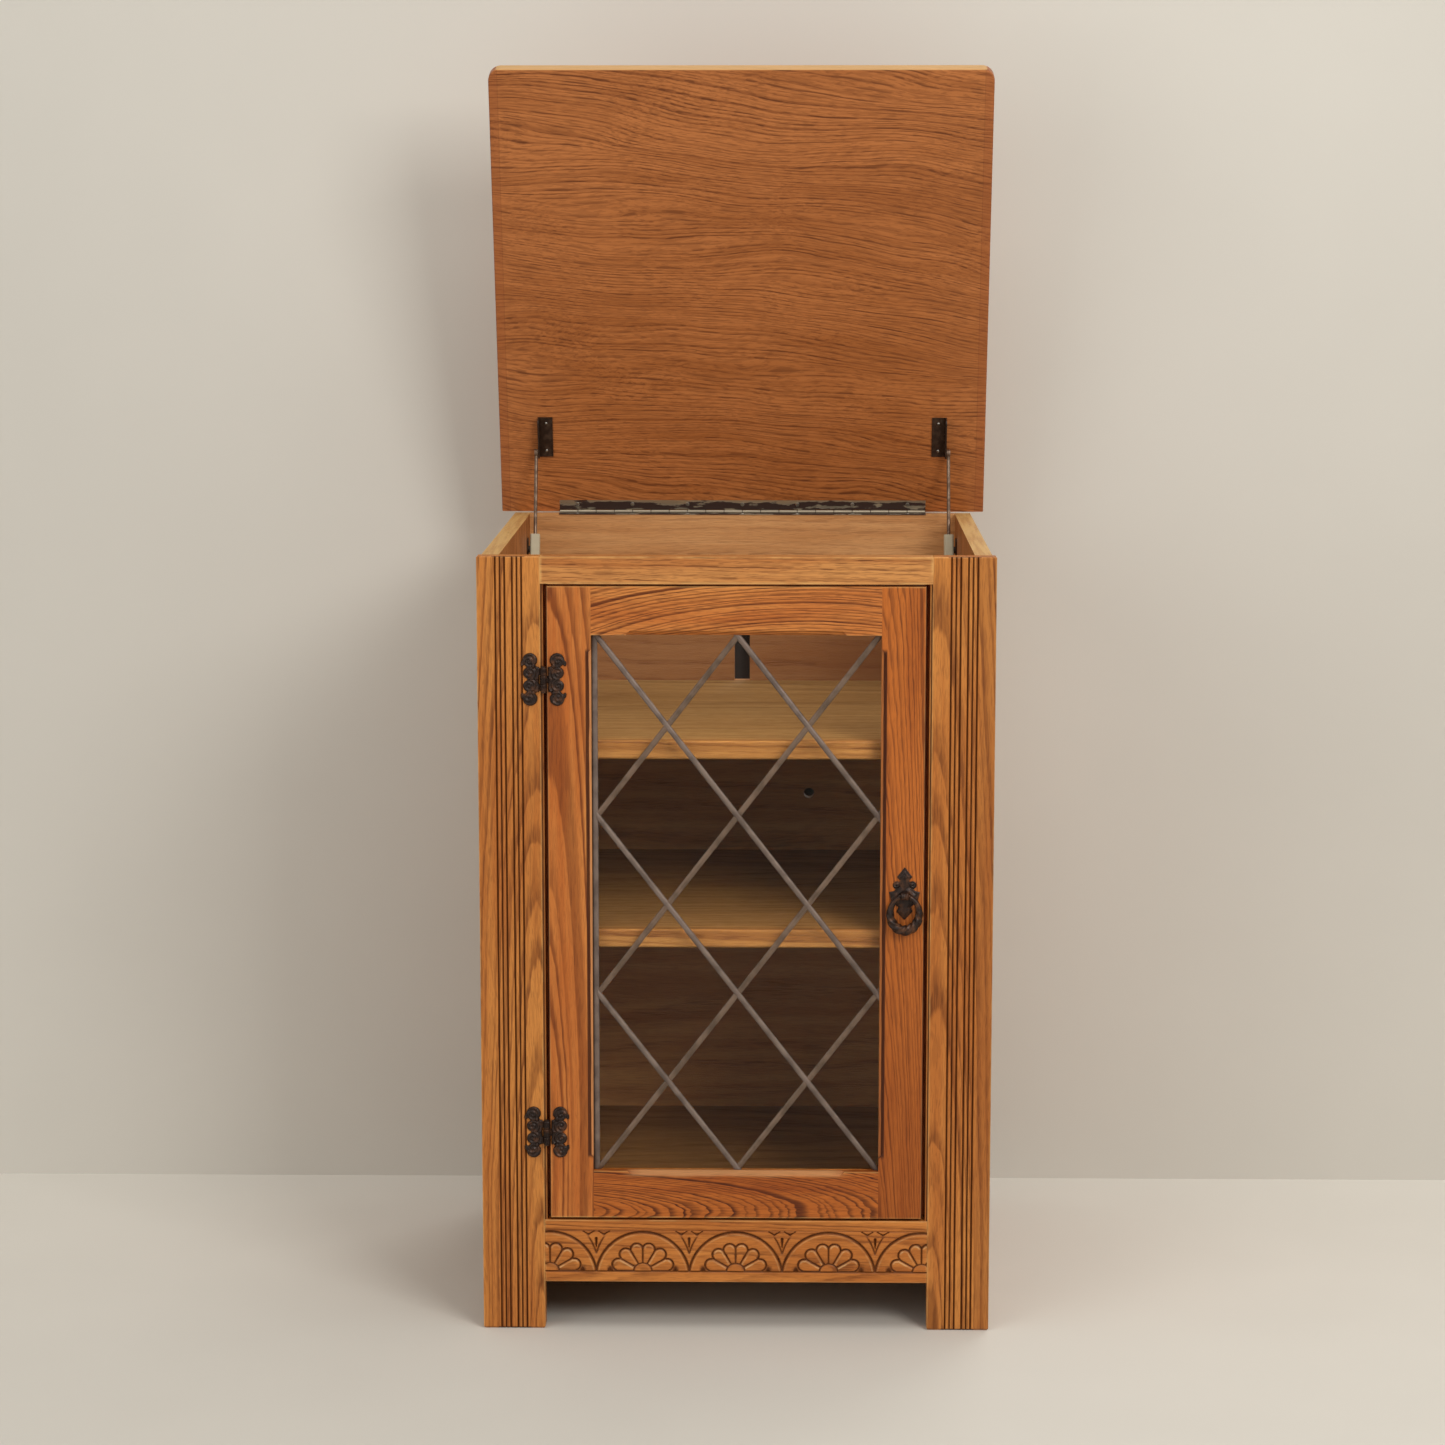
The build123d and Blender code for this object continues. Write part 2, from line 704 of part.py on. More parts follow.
def lid_board():
    """Lid with rounded front corners, let in on the underside for the hinge."""
    half = cabinet_width / 2 + lid_side_overhang
    lid = board((-half, half), (lid_front, pin_y), (lid_underside, lid_underside + lid_thickness))
    lid = fillet(lid.edges().filter_by(Axis.Z).group_by(Axis.Y)[0], lid_corner_radius)
    back_edge = lid.edges().filter_by(Axis.X).group_by(Axis.Y)[-1]
    underside = [edge for edge in lid.edges().group_by(Axis.Z)[0] if edge not in back_edge]
    lid = fillet(underside, lid_under_round)
    back_edge = lid.edges().filter_by(Axis.X).group_by(Axis.Y)[-1]
    top = [edge for edge in lid.edges().group_by(Axis.Z)[-1] if edge not in back_edge]
    lid = fillet(top, lid_top_round)
    hinge_span = (-piano_length / 2, piano_length / 2)
    leaf_front = pin_y - piano_leaf_width
    seat = lid_underside + piano_leaf_thickness
    lid -= board(hinge_span, (leaf_front, pin_y + overrun), (lid_underside - overrun, seat))
    knuckle_front = pin_y - knuckle_radius - moving_gap
    lid -= board(hinge_span, (knuckle_front, pin_y + overrun), (lid_underside - overrun, seat + moving_gap))
    return lid


nodes["lid_board"] = swing_open(lid_board())


# Friction stays: a rod from the lid slides through a plastic block that turns on the side panel
def opened(y, z):
    """Where a point of the shut lid lies when the lid is open."""
    turn = radians(-lid_open_angle)
    dy = y - pin_y
    dz = z - pin_z
    return pin_y + dy * cos(turn) - dz * sin(turn), pin_z + dy * sin(turn) + dz * cos(turn)


shut_pivot = (pin_y - stay_pivot_along, lid_underside - stay_pivot_drop)
open_pivot = opened(*shut_pivot)
rod_reach = hypot(open_pivot[0] - block_pivot_y, open_pivot[1] - block_pivot_height)
rod_tilt = degrees(atan2(block_pivot_y - open_pivot[0], open_pivot[1] - block_pivot_height))
block_place = Pos(stay_offset, block_pivot_y, block_pivot_height) * Rot(rod_tilt, 0, 0)
block_outer = block_width / 2
rod_bore = rod_radius + running_clearance
pin_tip = block_outer - stay_pin_in_block


def stay_block():
    """Plastic block, with the rod's bore along it and the pivot's bore in its outer side."""
    block = Box(block_width, block_depth, block_length)
    block = chamfer(block.edges().filter_by(Axis.Z), block_chamfer)
    block -= Cylinder(rod_bore, block_length + overrun * 2)
    pin_bore = stay_pin_radius + running_clearance
    return block_place * (block - bar_along_x(pin_bore, pin_tip, block_outer + overrun, 0, 0))


def stay_rod():
    """Rod with a flat eye beside the lid's bracket and a stop under the block."""
    stop_top = -block_length / 2 - moving_gap
    stop_bottom = stop_top - rod_stop_length
    rod = pin_upright(rod_radius, stop_bottom, rod_reach, 0, 0)
    rod += pin_upright(rod_stop_radius, stop_bottom, stop_top, 0, 0)
    return block_place * (rod + bar_along_x(rod_eye_radius, -rod_radius, rod_radius, 0, rod_reach))


def stay_side_bracket():
    """Plate on the side panel with the stepped pin that carries the block."""
    plate_inner = side_inner - bracket_thickness
    half = side_bracket_depth / 2
    plate_top = block_pivot_height + side_bracket_above
    plate = board(
        (plate_inner, side_inner),
        (block_pivot_y - half, block_pivot_y + half),
        (plate_top - side_bracket_height, plate_top),
    )
    plate = chamfer(plate.edges().filter_by(Axis.X), side_bracket_chamfer)
    shoulder_end = stay_offset + block_outer + moving_gap
    plate += bar_along_x(stay_shoulder_radius, shoulder_end, plate_inner, block_pivot_y, block_pivot_height)
    pin_start = stay_offset + pin_tip + running_clearance
    return plate + bar_along_x(stay_pin_radius, pin_start, plate_inner, block_pivot_y, block_pivot_height)


def stay_lid_bracket():
    """Angle bracket under the lid, with its flange beside the rod's eye."""
    flange_outer = stay_offset - rod_radius - moving_gap
    near = pin_y - lid_bracket_low
    far = near - lid_bracket_length
    plate_low = lid_underside - bracket_thickness
    bracket = board((flange_outer - lid_bracket_width, flange_outer), (far, near), (plate_low, lid_underside))
    flange_low = lid_underside - stay_pivot_drop - flange_below_pivot
    flange = board((flange_outer - bracket_thickness, flange_outer), (far, near), (flange_low, lid_underside))
    corners = flange.edges().filter_by(Axis.X).group_by(Axis.Z)[0]
    return swing_open(bracket + fillet(corners, flange_below_pivot))


for name, piece in (
    ("block", stay_block()),
    ("rod", stay_rod()),
    ("side_bracket", stay_side_bracket()),
    ("lid_bracket", stay_lid_bracket()),
):
    nodes[f"right_stay_{name}"] = piece
    nodes[f"left_stay_{name}"] = other_side(piece)


os.makedirs("parts", exist_ok=True)
for name, shape in nodes.items():
    export_step(shape, f"parts/{name}.step")
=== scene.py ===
import math

import bmesh
import bpy
import numpy as np
from mathutils import Euler, Matrix, Vector


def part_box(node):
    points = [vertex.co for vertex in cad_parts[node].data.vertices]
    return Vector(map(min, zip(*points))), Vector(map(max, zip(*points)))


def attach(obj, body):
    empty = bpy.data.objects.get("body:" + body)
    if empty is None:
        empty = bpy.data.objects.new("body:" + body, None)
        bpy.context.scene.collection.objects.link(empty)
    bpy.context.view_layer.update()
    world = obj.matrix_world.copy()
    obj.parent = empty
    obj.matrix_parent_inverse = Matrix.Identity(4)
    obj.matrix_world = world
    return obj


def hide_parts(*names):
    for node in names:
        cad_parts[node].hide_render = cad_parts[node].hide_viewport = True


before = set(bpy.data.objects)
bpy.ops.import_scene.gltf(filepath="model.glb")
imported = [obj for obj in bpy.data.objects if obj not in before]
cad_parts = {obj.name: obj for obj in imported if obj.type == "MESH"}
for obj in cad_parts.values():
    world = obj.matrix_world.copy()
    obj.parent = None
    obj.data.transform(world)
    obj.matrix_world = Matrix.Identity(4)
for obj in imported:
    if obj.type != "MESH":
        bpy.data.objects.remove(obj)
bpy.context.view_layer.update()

# Camera: where the photographer stood, a little right of the middle and above the open lid's
# hinge, looking down by nine degrees.
post_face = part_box("front_top_rail")[0][1]
looking_down = math.radians(9.25)
turned_left = math.radians(1.01)
bpy.ops.object.camera_add(
    location=(0.0542, post_face - 3.8829, 1.2203),
    rotation=(math.pi / 2 - looking_down, 0, turned_left),
)
camera = bpy.context.object
camera.data.lens = 93.7
camera.data.sensor_width = 36
camera.data.shift_y = 0.045
bpy.context.scene.camera = camera
bpy.context.scene.view_settings.view_transform = "Standard"


# Studio: a plain pale floor and a plain pale wall close behind the cabinet, one broad lamp to the
# front right, a weaker one to the left, one overhead, one behind, and even light from all round.
def colour(red, green, blue):
    """A colour as it is read off a screen, turned into the light values that Blender mixes."""
    parts = [c / 255 for c in (red, green, blue)]
    return [c / 12.92 if c <= 0.04045 else ((c + 0.055) / 1.055) ** 2.4 for c in parts] + [1.0]


def deselect():
    """Lets go of every object, so that the next operator acts on the new piece alone."""
    if bpy.context.mode != "OBJECT":
        bpy.ops.object.mode_set(mode="OBJECT")
    bpy.ops.object.select_all(action="DESELECT")


def fill(tree, inputs, feeds):
    """Feeds a node's inputs from sockets or plain values."""
    for name, value in dict(feeds).items():
        if isinstance(value, bpy.types.NodeSocket):
            tree.links.new(value, inputs[name])
        else:
            inputs[name].default_value = value


def put(tree, kind, feeds=(), output=0, **settings):
    """Adds a node with its settings and feeds, and gives back one output."""
    node = tree.nodes.new(kind)
    for name, value in settings.items():
        setattr(node, name, value)
    fill(tree, node.inputs, feeds)
    return node.outputs[output]


def maths(tree, operation, *values):
    """A Math node over sockets or numbers."""
    return put(tree, "ShaderNodeMath", enumerate(values), operation=operation)


def times(tree, first, *others):
    """Sockets or numbers multiplied with each other."""
    for other in others:
        first = maths(tree, "MULTIPLY", first, other)
    return first


def vectors(tree, operation, *values, output=0):
    """A Vector Math node over sockets or values."""
    return put(tree, "ShaderNodeVectorMath", enumerate(values), output, operation=operation)


def ramp(tree, value, low, high, start=0.0, end=1.0):
    """Turns a value smoothly from start to end between low and high."""
    feeds = {"Value": value, 1: low, 2: high, 3: start, 4: end}
    return put(tree, "ShaderNodeMapRange", feeds, interpolation_type="SMOOTHSTEP")


def between(tree, value, low, full, fading, high):
    """1 from full to fading, and 0 below low and above high."""
    return times(tree, ramp(tree, value, low, full), ramp(tree, value, fading, high, 1, 0))


def blend(tree, share, first, second, how="MIX"):
    """Mixes two colours by a share from 0 to 1."""
    feeds = {0: share, 6: first, 7: second}
    return put(tree, "ShaderNodeMix", feeds, 2, data_type="RGBA", blend_type=how)


def blotches(tree, place, scale, detail=2.0, output=0):
    """Soft noise over a place, its blotches about 1 / scale apart."""
    feeds = {"Vector": place, "Scale": scale, "Detail": detail, "Roughness": 0.55}
    return put(tree, "ShaderNodeTexNoise", feeds, output)


def placed(tree):
    """The place on the piece that a finish reads, whole and as its x, y and z."""
    place = put(tree, "ShaderNodeTexCoord", output=3)
    return place, *put(tree, "ShaderNodeSeparateXYZ", {0: place}).node.outputs


def new_finish(name):
    """An empty finish with its Principled shader, and the place on the piece that it reads."""
    finish = bpy.data.materials.new(name)
    finish.use_nodes = True
    tree = finish.node_tree
    return finish, tree, tree.nodes["Principled BSDF"], put(tree, "ShaderNodeTexCoord", output=3)


def show(tree, surface):
    """Makes a mixed surface the one that is seen."""
    tree.links.new(surface, tree.nodes["Material Output"].inputs["Surface"])


def bump(tree, shader, height, depth):
    """Raises or sinks the surface by a height from 0 to 1, depth metres in all."""
    feeds = {"Strength": 1.0, "Distance": depth, "Height": height}
    tree.links.new(put(tree, "ShaderNodeBump", feeds), shader.inputs["Normal"])


bpy.context.scene.world = bpy.data.worlds.new("studio air")
bpy.context.scene.world.use_nodes = True
air = bpy.context.scene.world.node_tree.nodes["Background"].inputs
air["Color"].default_value = (1.0, 0.98, 0.95, 1.0)
air["Strength"].default_value = 0.38

paint, tree, shader, place = new_finish("pale matt paint")
patches = ramp(tree, blotches(tree, place, 1.4, 3), 0.3, 0.7)
shade = blend(tree, patches, colour(212, 209, 201), colour(217, 214, 206))
fill(tree, shader.inputs, {"Base Color": shade, "Roughness": 0.85, "Specular IOR Level": 0.2})

# The floor runs out into the even light of the studio, so that it shows no edge.
floor_paint = paint.copy()
floor_paint.name = "pale matt paint of the floor"
floor_paint.cycles.emission_sampling = "NONE"
tree = floor_paint.node_tree
away = vectors(tree, "LENGTH", put(tree, "ShaderNodeTexCoord", output=3), output=1)
feeds = {name: air[name].default_value for name in ("Color", "Strength")}
haze = put(tree, "ShaderNodeEmission", feeds)
painted = tree.nodes["Principled BSDF"].outputs[0]
show(tree, put(tree, "ShaderNodeMixShader", {0: ramp(tree, away, 2.4, 6.5), 1: painted, 2: haze}))
deselect()
bpy.ops.mesh.primitive_circle_add(vertices=96, radius=40, fill_type="NGON")
floor = bpy.context.object
floor.name = "studio_floor"
floor.data.materials.append(floor_paint)


def seen_from_the_front(finish):
    """Lets lamps shine through a finish, and lets it be looked through from behind."""
    tree = finish.node_tree
    lamp_ray = put(tree, "ShaderNodeLightPath", output=1)
    from_behind = put(tree, "ShaderNodeNewGeometry", output=6)
    unseen = maths(tree, "MAXIMUM", lamp_ray, from_behind)
    front = tree.nodes["Principled BSDF"].outputs[0]
    open_air = put(tree, "ShaderNodeBsdfTransparent")
    show(tree, put(tree, "ShaderNodeMixShader", {0: unseen, 1: front, 2: open_air}))


# The wall lets lamps through and can't be seen from behind, so that the back is lit and seen.
# So does the dark shade close behind the slot and the hole of the back board, where the cabinet
# keeps the light off the wall. The shade takes no light from the back.
wall_paint = paint.copy()
wall_paint.name = "pale matt paint of the wall"
shade_paint, tree, shader, place = new_finish("shade behind the cabinet")
dim = ramp(tree, blotches(tree, place, 6, 2), 0.3, 0.7)
shade = blend(tree, dim, colour(42, 38, 36), colour(50, 45, 42))
fill(tree, shader.inputs, {"Base Color": shade, "Roughness": 0.9})
for name, finish, x, y, half_width, low, high in (
    ("studio_wall", wall_paint, 0, 0.36, 7.0, 0.0, 7.0),
    ("studio_shade", shade_paint, 0.04, 0.2556, 0.08, 0.43, 0.73),
):
    seen_from_the_front(finish)
    deselect()
    bpy.ops.mesh.primitive_plane_add(size=1, rotation=(math.radians(90), 0, 0))
    card = bpy.context.object
    card.name = name
    card.location = (x, y, (low + high) / 2)
    card.scale = (half_width * 2, high - low, 1)
    bpy.ops.object.transform_apply(location=True, rotation=True, scale=True)
    card.data.materials.append(finish)
    if name == "studio_shade":
        card.visible_diffuse = False
        card.visible_glossy = False
        card.visible_shadow = False

for name, spot, aim, size, watts in (
    ("key lamp", (1.9, -3.2, 2.5), (0, -0.2, 0.6), 1.5, 64),
    ("left lamp", (-2.6, -3.0, 1.5), (0, -0.2, 0.6), 2.4, 25),
    ("top lamp", (0.2, -0.9, 3.3), (0, 0, 0.8), 2.0, 26),
    ("back lamp", (1.6, 3.6, 2.2), (0, 0.2, 0.6), 2.4, 55),
):
    bpy.ops.object.light_add(type="AREA", location=spot)
    lamp = bpy.context.object
    lamp.name = name
    lamp.data.size = size
    lamp.data.energy = watts
    lamp.data.color = (1.0, 0.965, 0.92)
    lamp.rotation_euler = (Vector(aim) - Vector(spot)).to_track_quat("-Z", "Y").to_euler()


# Oak: solid boards and veneer, stained golden brown and waxed. Growth rings are circles round
# the middle of the tree, which leans through the board, so its face shows arches or stripes.
def sockets(group, in_out, **kinds):
    """Gives a node group its inputs or outputs, by kind."""
    for kind, names in kinds.items():
        for name in names:
            group.interface.new_socket(name, in_out=in_out, socket_type=f"NodeSocket{kind}")


figure = bpy.data.node_groups.new("oak figure", "ShaderNodeTree")
sawn = ("Seed", "Ring Width", "Middle Across", "Middle Depth", "Lean", "Sway", "Rings", "Pores")
sockets(figure, "INPUT", Vector=["Board"], Float=sawn, Color=["Pale", "Brown", "Dark"])
sockets(figure, "OUTPUT", Color=["Color"], Float=["Roughness", "Height"])
given = figure.nodes.new("NodeGroupInput").outputs
board = given["Board"]
seed = put(figure, "ShaderNodeCombineXYZ", dict.fromkeys(range(3), given["Seed"]))


def grain_noise(place, along, across, detail, output=0):
    """Noise that is drawn out along the grain, and differs by the board's own seed."""
    drawn = vectors(figure, "MULTIPLY", place, (along, across, across))
    return blotches(figure, vectors(figure, "ADD", drawn, seed), 1, detail, output)


def swayed(place, noise, amount):
    """Moves a place by noise, up to amount either way."""
    centred = vectors(figure, "SUBTRACT", noise, (0.5, 0.5, 0.5))
    shift = put(figure, "ShaderNodeVectorMath", {0: centred, "Scale": amount}, operation="SCALE")
    return vectors(figure, "ADD", place, shift)


# Rings: how far a point lies from the middle of the tree, counted in years.
grain = swayed(board, grain_noise(board, 3.2, 9, 1.5, 1), times(figure, given["Sway"], 2))
grain = swayed(grain, grain_noise(board, 26, 130, 2, 1), 0.0022)
parts = put(figure, "ShaderNodeSeparateXYZ", {0: grain}).node.outputs
across = maths(figure, "SUBTRACT", parts[1], given["Middle Across"])
leaned = maths(figure, "MULTIPLY_ADD", parts[0], given["Lean"], given["Middle Depth"])
depth = maths(figure, "ADD", parts[2], leaned)
squares = maths(figure, "ADD", maths(figure, "POWER", across, 2), maths(figure, "POWER", depth, 2))
age = maths(figure, "DIVIDE", maths(figure, "SQRT", squares), given["Ring Width"])
feeds = {"W": maths(figure, "MULTIPLY_ADD", age, 0.45, given["Seed"]), "Scale": 1, "Detail": 1}
growth = put(figure, "ShaderNodeTexNoise", feeds, noise_dimensions="1D")
age = maths(figure, "MULTIPLY_ADD", growth, 1.6, age)
feeds = {"W": maths(figure, "FLOOR", age)}
year = put(figure, "ShaderNodeTexWhiteNoise", feeds, noise_dimensions="1D")
spring = between(figure, maths(figure, "FRACT", age), 0, 0.09, 0.14, 0.6)
spring = times(figure, spring, maths(figure, "MULTIPLY_ADD", year, 0.6, 0.4))

# Pores: short dark dashes along the grain, thickest in the spring wood.
dashes = ramp(figure, grain_noise(grain, 30, 430, 1.2), 0.5, 0.62)
fine_dashes = ramp(figure, grain_noise(grain, 70, 900, 1.5), 0.5, 0.66)
pores = times(figure, dashes, maths(figure, "MULTIPLY_ADD", spring, 0.7, 0.3))
pores = maths(figure, "MAXIMUM", pores, times(figure, fine_dashes, 0.5))

# Colour: pale and brown by streaks and clouds, then the rings, then the pores.
streaks = times(figure, grain_noise(grain, 3.5, 75, 3), 0.5)
clouds = times(figure, grain_noise(board, 2.6, 9, 3), 0.5)
tone = maths(figure, "ADD", streaks, clouds)
shade = blend(figure, ramp(figure, tone, 0.36, 0.64), given["Pale"], given["Brown"])
shade = blend(figure, times(figure, spring, given["Rings"]), shade, given["Dark"])
deep = blend(figure, 1.0, given["Dark"], (0.55, 0.5, 0.45, 1), "MULTIPLY")
shade = blend(figure, times(figure, pores, given["Pores"]), shade, deep)
sheen = maths(figure, "MULTIPLY_ADD", pores, 0.22, 0.4)
sunk = maths(figure, "MULTIPLY_ADD", spring, 0.35, times(figure, pores, 0.65))
height = maths(figure, "SUBTRACT", 1.0, sunk)
result = figure.nodes.new("NodeGroupOutput").inputs
fill(figure, result, {"Color": shade, "Roughness": sheen, "Height": height})

# Edges worn pale by use and given a painted highlight, as edges catch the light: a mask of the
# places that lie near two faces of the board at once.
worn_and_lit = bpy.data.node_groups.new("rubbed edges", "ShaderNodeTree")
sockets(worn_and_lit, "INPUT", Vector=["Place", "Low", "High"], Float=["Width"])
sockets(worn_and_lit, "OUTPUT", Float=["Mask"])
given = worn_and_lit.nodes.new("NodeGroupInput").outputs
below = vectors(worn_and_lit, "SUBTRACT", given["Place"], given["Low"])
above = vectors(worn_and_lit, "SUBTRACT", given["High"], given["Place"])
nearest = vectors(worn_and_lit, "MINIMUM", below, above)
x, y, z = put(worn_and_lit, "ShaderNodeSeparateXYZ", {0: nearest}).node.outputs
least = maths(worn_and_lit, "MINIMUM", x, y)
most = maths(worn_and_lit, "MAXIMUM", x, y)
second = maths(worn_and_lit, "MAXIMUM", least, maths(worn_and_lit, "MINIMUM", most, z))
uneven = ramp(worn_and_lit, blotches(worn_and_lit, given["Place"], 38, 3), 0.35, 0.65, 0.25, 1.0)
near = put(worn_and_lit, "ShaderNodeMapRange", {"Value": second, 1: 0, 2: given["Width"], 3: 1, 4: 0})
fill(worn_and_lit, worn_and_lit.nodes.new("NodeGroupOutput").inputs, {"Mask": times(worn_and_lit, near, uneven)})

# How a board lies: the turns that bring its grain along x, its face across y and its depth to z.
upright_front = (math.radians(90), 0, math.radians(90))
level_front = (math.radians(90), 0, 0)
level_flat = (0, 0, 0)
upright_side = (0, math.radians(90), 0)
# The pale of the edges: wear with a painted highlight.
worn_and_lit_oak = (228, 178, 108)


def figured(tree, board, seed, ring, middle, lean, sway, tint, rings, pores):
    """The oak figure on one board, by how it was sawn and stained."""
    feeds = {"Board": board, "Seed": seed, "Ring Width": ring, "Lean": lean, "Sway": sway}
    feeds.update({"Middle Across": middle[0], "Middle Depth": middle[1]})
    feeds.update({name: colour(*value) for name, value in zip(("Pale", "Brown", "Dark"), tint)})
    feeds.update({"Rings": rings, "Pores": pores})
    return put(tree, "ShaderNodeGroup", feeds, node_tree=figure).node.outputs


def waxed(tree, shader, shade, wood, relief):
    """Shows a shade with the sheen and the relief of the wood below it."""
    feeds = {"Base Color": shade, "Roughness": wood["Roughness"], "Specular IOR Level": 0.25}
    fill(tree, shader.inputs, feeds)
    bump(tree, shader, wood["Height"], relief)


def oak_finish(
    name, box, lie, seed, ring=0.005, middle=(0.0, 0.06), lean=0.06, sway=0.006,
    pale=(214, 148, 74), brown=(184, 110, 46), dark=(112, 54, 14), rings=0.8, pores=0.75,
    edge=0.0016, edge_share=0.55, jointed=(0.0, 0.0),
):
    """Oak for one board: its box places the figure, and the other values say how it was sawn. Its
    edges are worn pale and given a painted highlight, but not its left and right edges where
    jointed says that they meet another board."""
    finish, tree, shader, place = new_finish(name)
    low, high = (Vector(corner) for corner in box)
    centre = (low + high) / 2
    if lie in (upright_front, level_front):
        centre.y = low.y
    feeds = {"Vector": place, "Rotation": lie, "Location": -(Euler(lie).to_matrix() @ centre)}
    board = put(tree, "ShaderNodeMapping", feeds)
    tint = (pale, brown, dark)
    wood = figured(tree, board, seed, ring, middle, lean, sway, tint, rings, pores)
    low.x -= jointed[0]
    high.x += jointed[1]
    feeds = {"Place": place, "Low": low, "High": high, "Width": edge}
    mask = put(tree, "ShaderNodeGroup", feeds, node_tree=worn_and_lit)
    # Pale edges: wear with a painted highlight.
    shade = blend(tree, times(tree, mask, edge_share), wood["Color"], colour(*worn_and_lit_oak))
    waxed(tree, shader, shade, wood, 0.00025)
    return finish


def dress(name, finish):
    """Gives a part of the frame its finish."""
    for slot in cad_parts[name].material_slots:
        slot.material = finish


def dress_in_oak(name, *sawn, wood="oak", **stain):
    """Dresses a board of the frame in oak of its own."""
    finish = oak_finish(f"{wood} of the {name}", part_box(name), *sawn, **stain)
    dress(name, finish)
    return finish


def stained(finish, mask, stain, share):
    """Stains a finish where the mask, made in its own tree, is 1."""
    tree = finish.node_tree
    socket = tree.nodes["Principled BSDF"].inputs["Base Color"]
    under = socket.links[0].from_socket
    tree.links.new(blend(tree, times(tree, mask(tree), share), under, colour(*stain)), socket)


def smooth(degrees):
    """Rounds the look of the piece in hand where its faces meet at less than an angle."""
    bpy.ops.object.shade_smooth_by_angle(angle=math.radians(degrees))


def rides(piece, body, finish):
    """Names the body that a new piece moves with and gives it its finish."""
    piece.data.materials.clear()
    piece.data.materials.append(finish)
    piece.data.name = piece.name
    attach(piece, body)


def joined(pieces, name):
    """One piece from several."""
    deselect()
    for piece in pieces:
        piece.select_set(True)
    bpy.context.view_layer.objects.active = pieces[0]
    bpy.ops.object.join()
    pieces[0].name = name
    return pieces[0]


# Front posts: solid oak with the grain upright, six grooves worked from top to foot and stained
# nearly black, the narrow ridges between them rubbed pale.
def middle_of(name):
    """The middle of the box that a part of the frame fills."""
    low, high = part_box(name)
    return (Vector(low) + Vector(high)) / 2


groove_middle = middle_of("right_front_post").x
groove_half_band = 0.0172


def groove_stain(tree):
    """1 below the face between the outermost grooves, no deeper than the grooves are."""
    place, x, y, z = placed(tree)
    off = maths(tree, "SUBTRACT", maths(tree, "ABSOLUTE", x), groove_middle)
    in_band = maths(tree, "LESS_THAN", maths(tree, "ABSOLUTE", off), groove_half_band)
    limits = [post_face + depth for depth in (0.0001, 0.0010, 0.0026, 0.0030)]
    return times(tree, in_band, between(tree, y, *limits))


def sideways(low, high, start=0.0, end=1.0):
    """A mask over how far a place lies from the cabinet's middle, to the left or the right."""
    def mask(tree):
        across = maths(tree, "ABSOLUTE", placed(tree)[1])
        return ramp(tree, across, low, high, start, end)
    return mask


for name, seed, middle, lean in (
    ("left_front_post", 3.1, (0.030, 0.035), 0.07),
    ("right_front_post", 11.7, (-0.028, 0.035), 0.06),
):
    post_oak = dress_in_oak(
        name, upright_front, seed, 0.0058, middle, lean, 0.006,
        pale=(206, 134, 64), brown=(184, 109, 47), dark=(120, 62, 20), rings=0.7, pores=0.6,
    )
    if name == "right_front_post":
        redder_outside = sideways(groove_middle + 0.0155, groove_middle + 0.0190)
        stained(post_oak, redder_outside, (110, 56, 22), 0.25)
    stained(post_oak, groove_stain, (84, 40, 14), 0.92)

# Front top rail and the two thin beads beside the door: solid oak glued between and against the
# posts. The rail's upper edge is worn pale with a painted highlight, the beads carry painted shade
# at the gap and are darker at the joint.
dress_in_oak(
    "front_top_rail", level_front, 5.3, 0.0036, (0.03, 0.03), 0.02, 0.004,
    pale=(210, 146, 82), brown=(188, 118, 60), rings=0.4, edge=0.003, edge_share=0.7,
)
low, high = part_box("right_door_bead")
for name, seed, gap, joint in (
    ("left_door_bead", 21.0, low[0] + 0.0003, high[0] - 0.0021),
    ("right_door_bead", 22.5, low[0] + 0.0006, high[0] - 0.0016),
):
    bead_oak = dress_in_oak(
        name, upright_front, seed, 0.003, (0.02, 0.03), 0.02, 0.003, edge=0.0008, edge_share=0.6
    )
    # Painted shade on the side of the bead towards the gap.
    stained(bead_oak, sideways(gap - 0.0003, gap + 0.0003, 1, 0), (138, 62, 18), 0.85)
    stained(bead_oak, sideways(joint - 0.0002, joint + 0.0002), (84, 46, 20), 0.8)

# Stops: a thin strip of red-brown oak pinned to the back of each post, which closes off the gap
# beside the door.
stop_oak = oak_finish(
    "red-brown strip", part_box("left_door_bead"), upright_front, 25.0, 0.003, (0.02, 0.03), 0.02,
    0.003, pale=(214, 104, 30), brown=(192, 88, 24), dark=(120, 50, 12), edge_share=0.0,
)


def edit_whole():
    """Opens the piece in hand for editing, with all of it selected."""
    bpy.ops.object.mode_set(mode="EDIT")
    bpy.ops.mesh.select_all(action="SELECT")


def eased_block(middle, size, ease, steps):
    """A block whose edges are rounded over."""
    deselect()
    bpy.ops.mesh.primitive_cube_add(size=1, location=middle)
    piece = bpy.context.object
    piece.scale = size
    bpy.ops.object.transform_apply(location=True, rotation=True, scale=True)
    edit_whole()
    bpy.ops.mesh.bevel(offset=ease, segments=steps)
    bpy.ops.object.mode_set(mode="OBJECT")
    return piece


stop_out, stop_y, stop_z = 0.2046, -0.2391, 0.4609
stop_size = (0.0148, 0.0018, 0.6802)
stops = []
for side in (-1, 1):
    stops.append(eased_block((side * stop_out, stop_y, stop_z), stop_size, 0.0003, 2))
rides(joined(stops, "door_gap_stops"), "carcass", stop_oak)

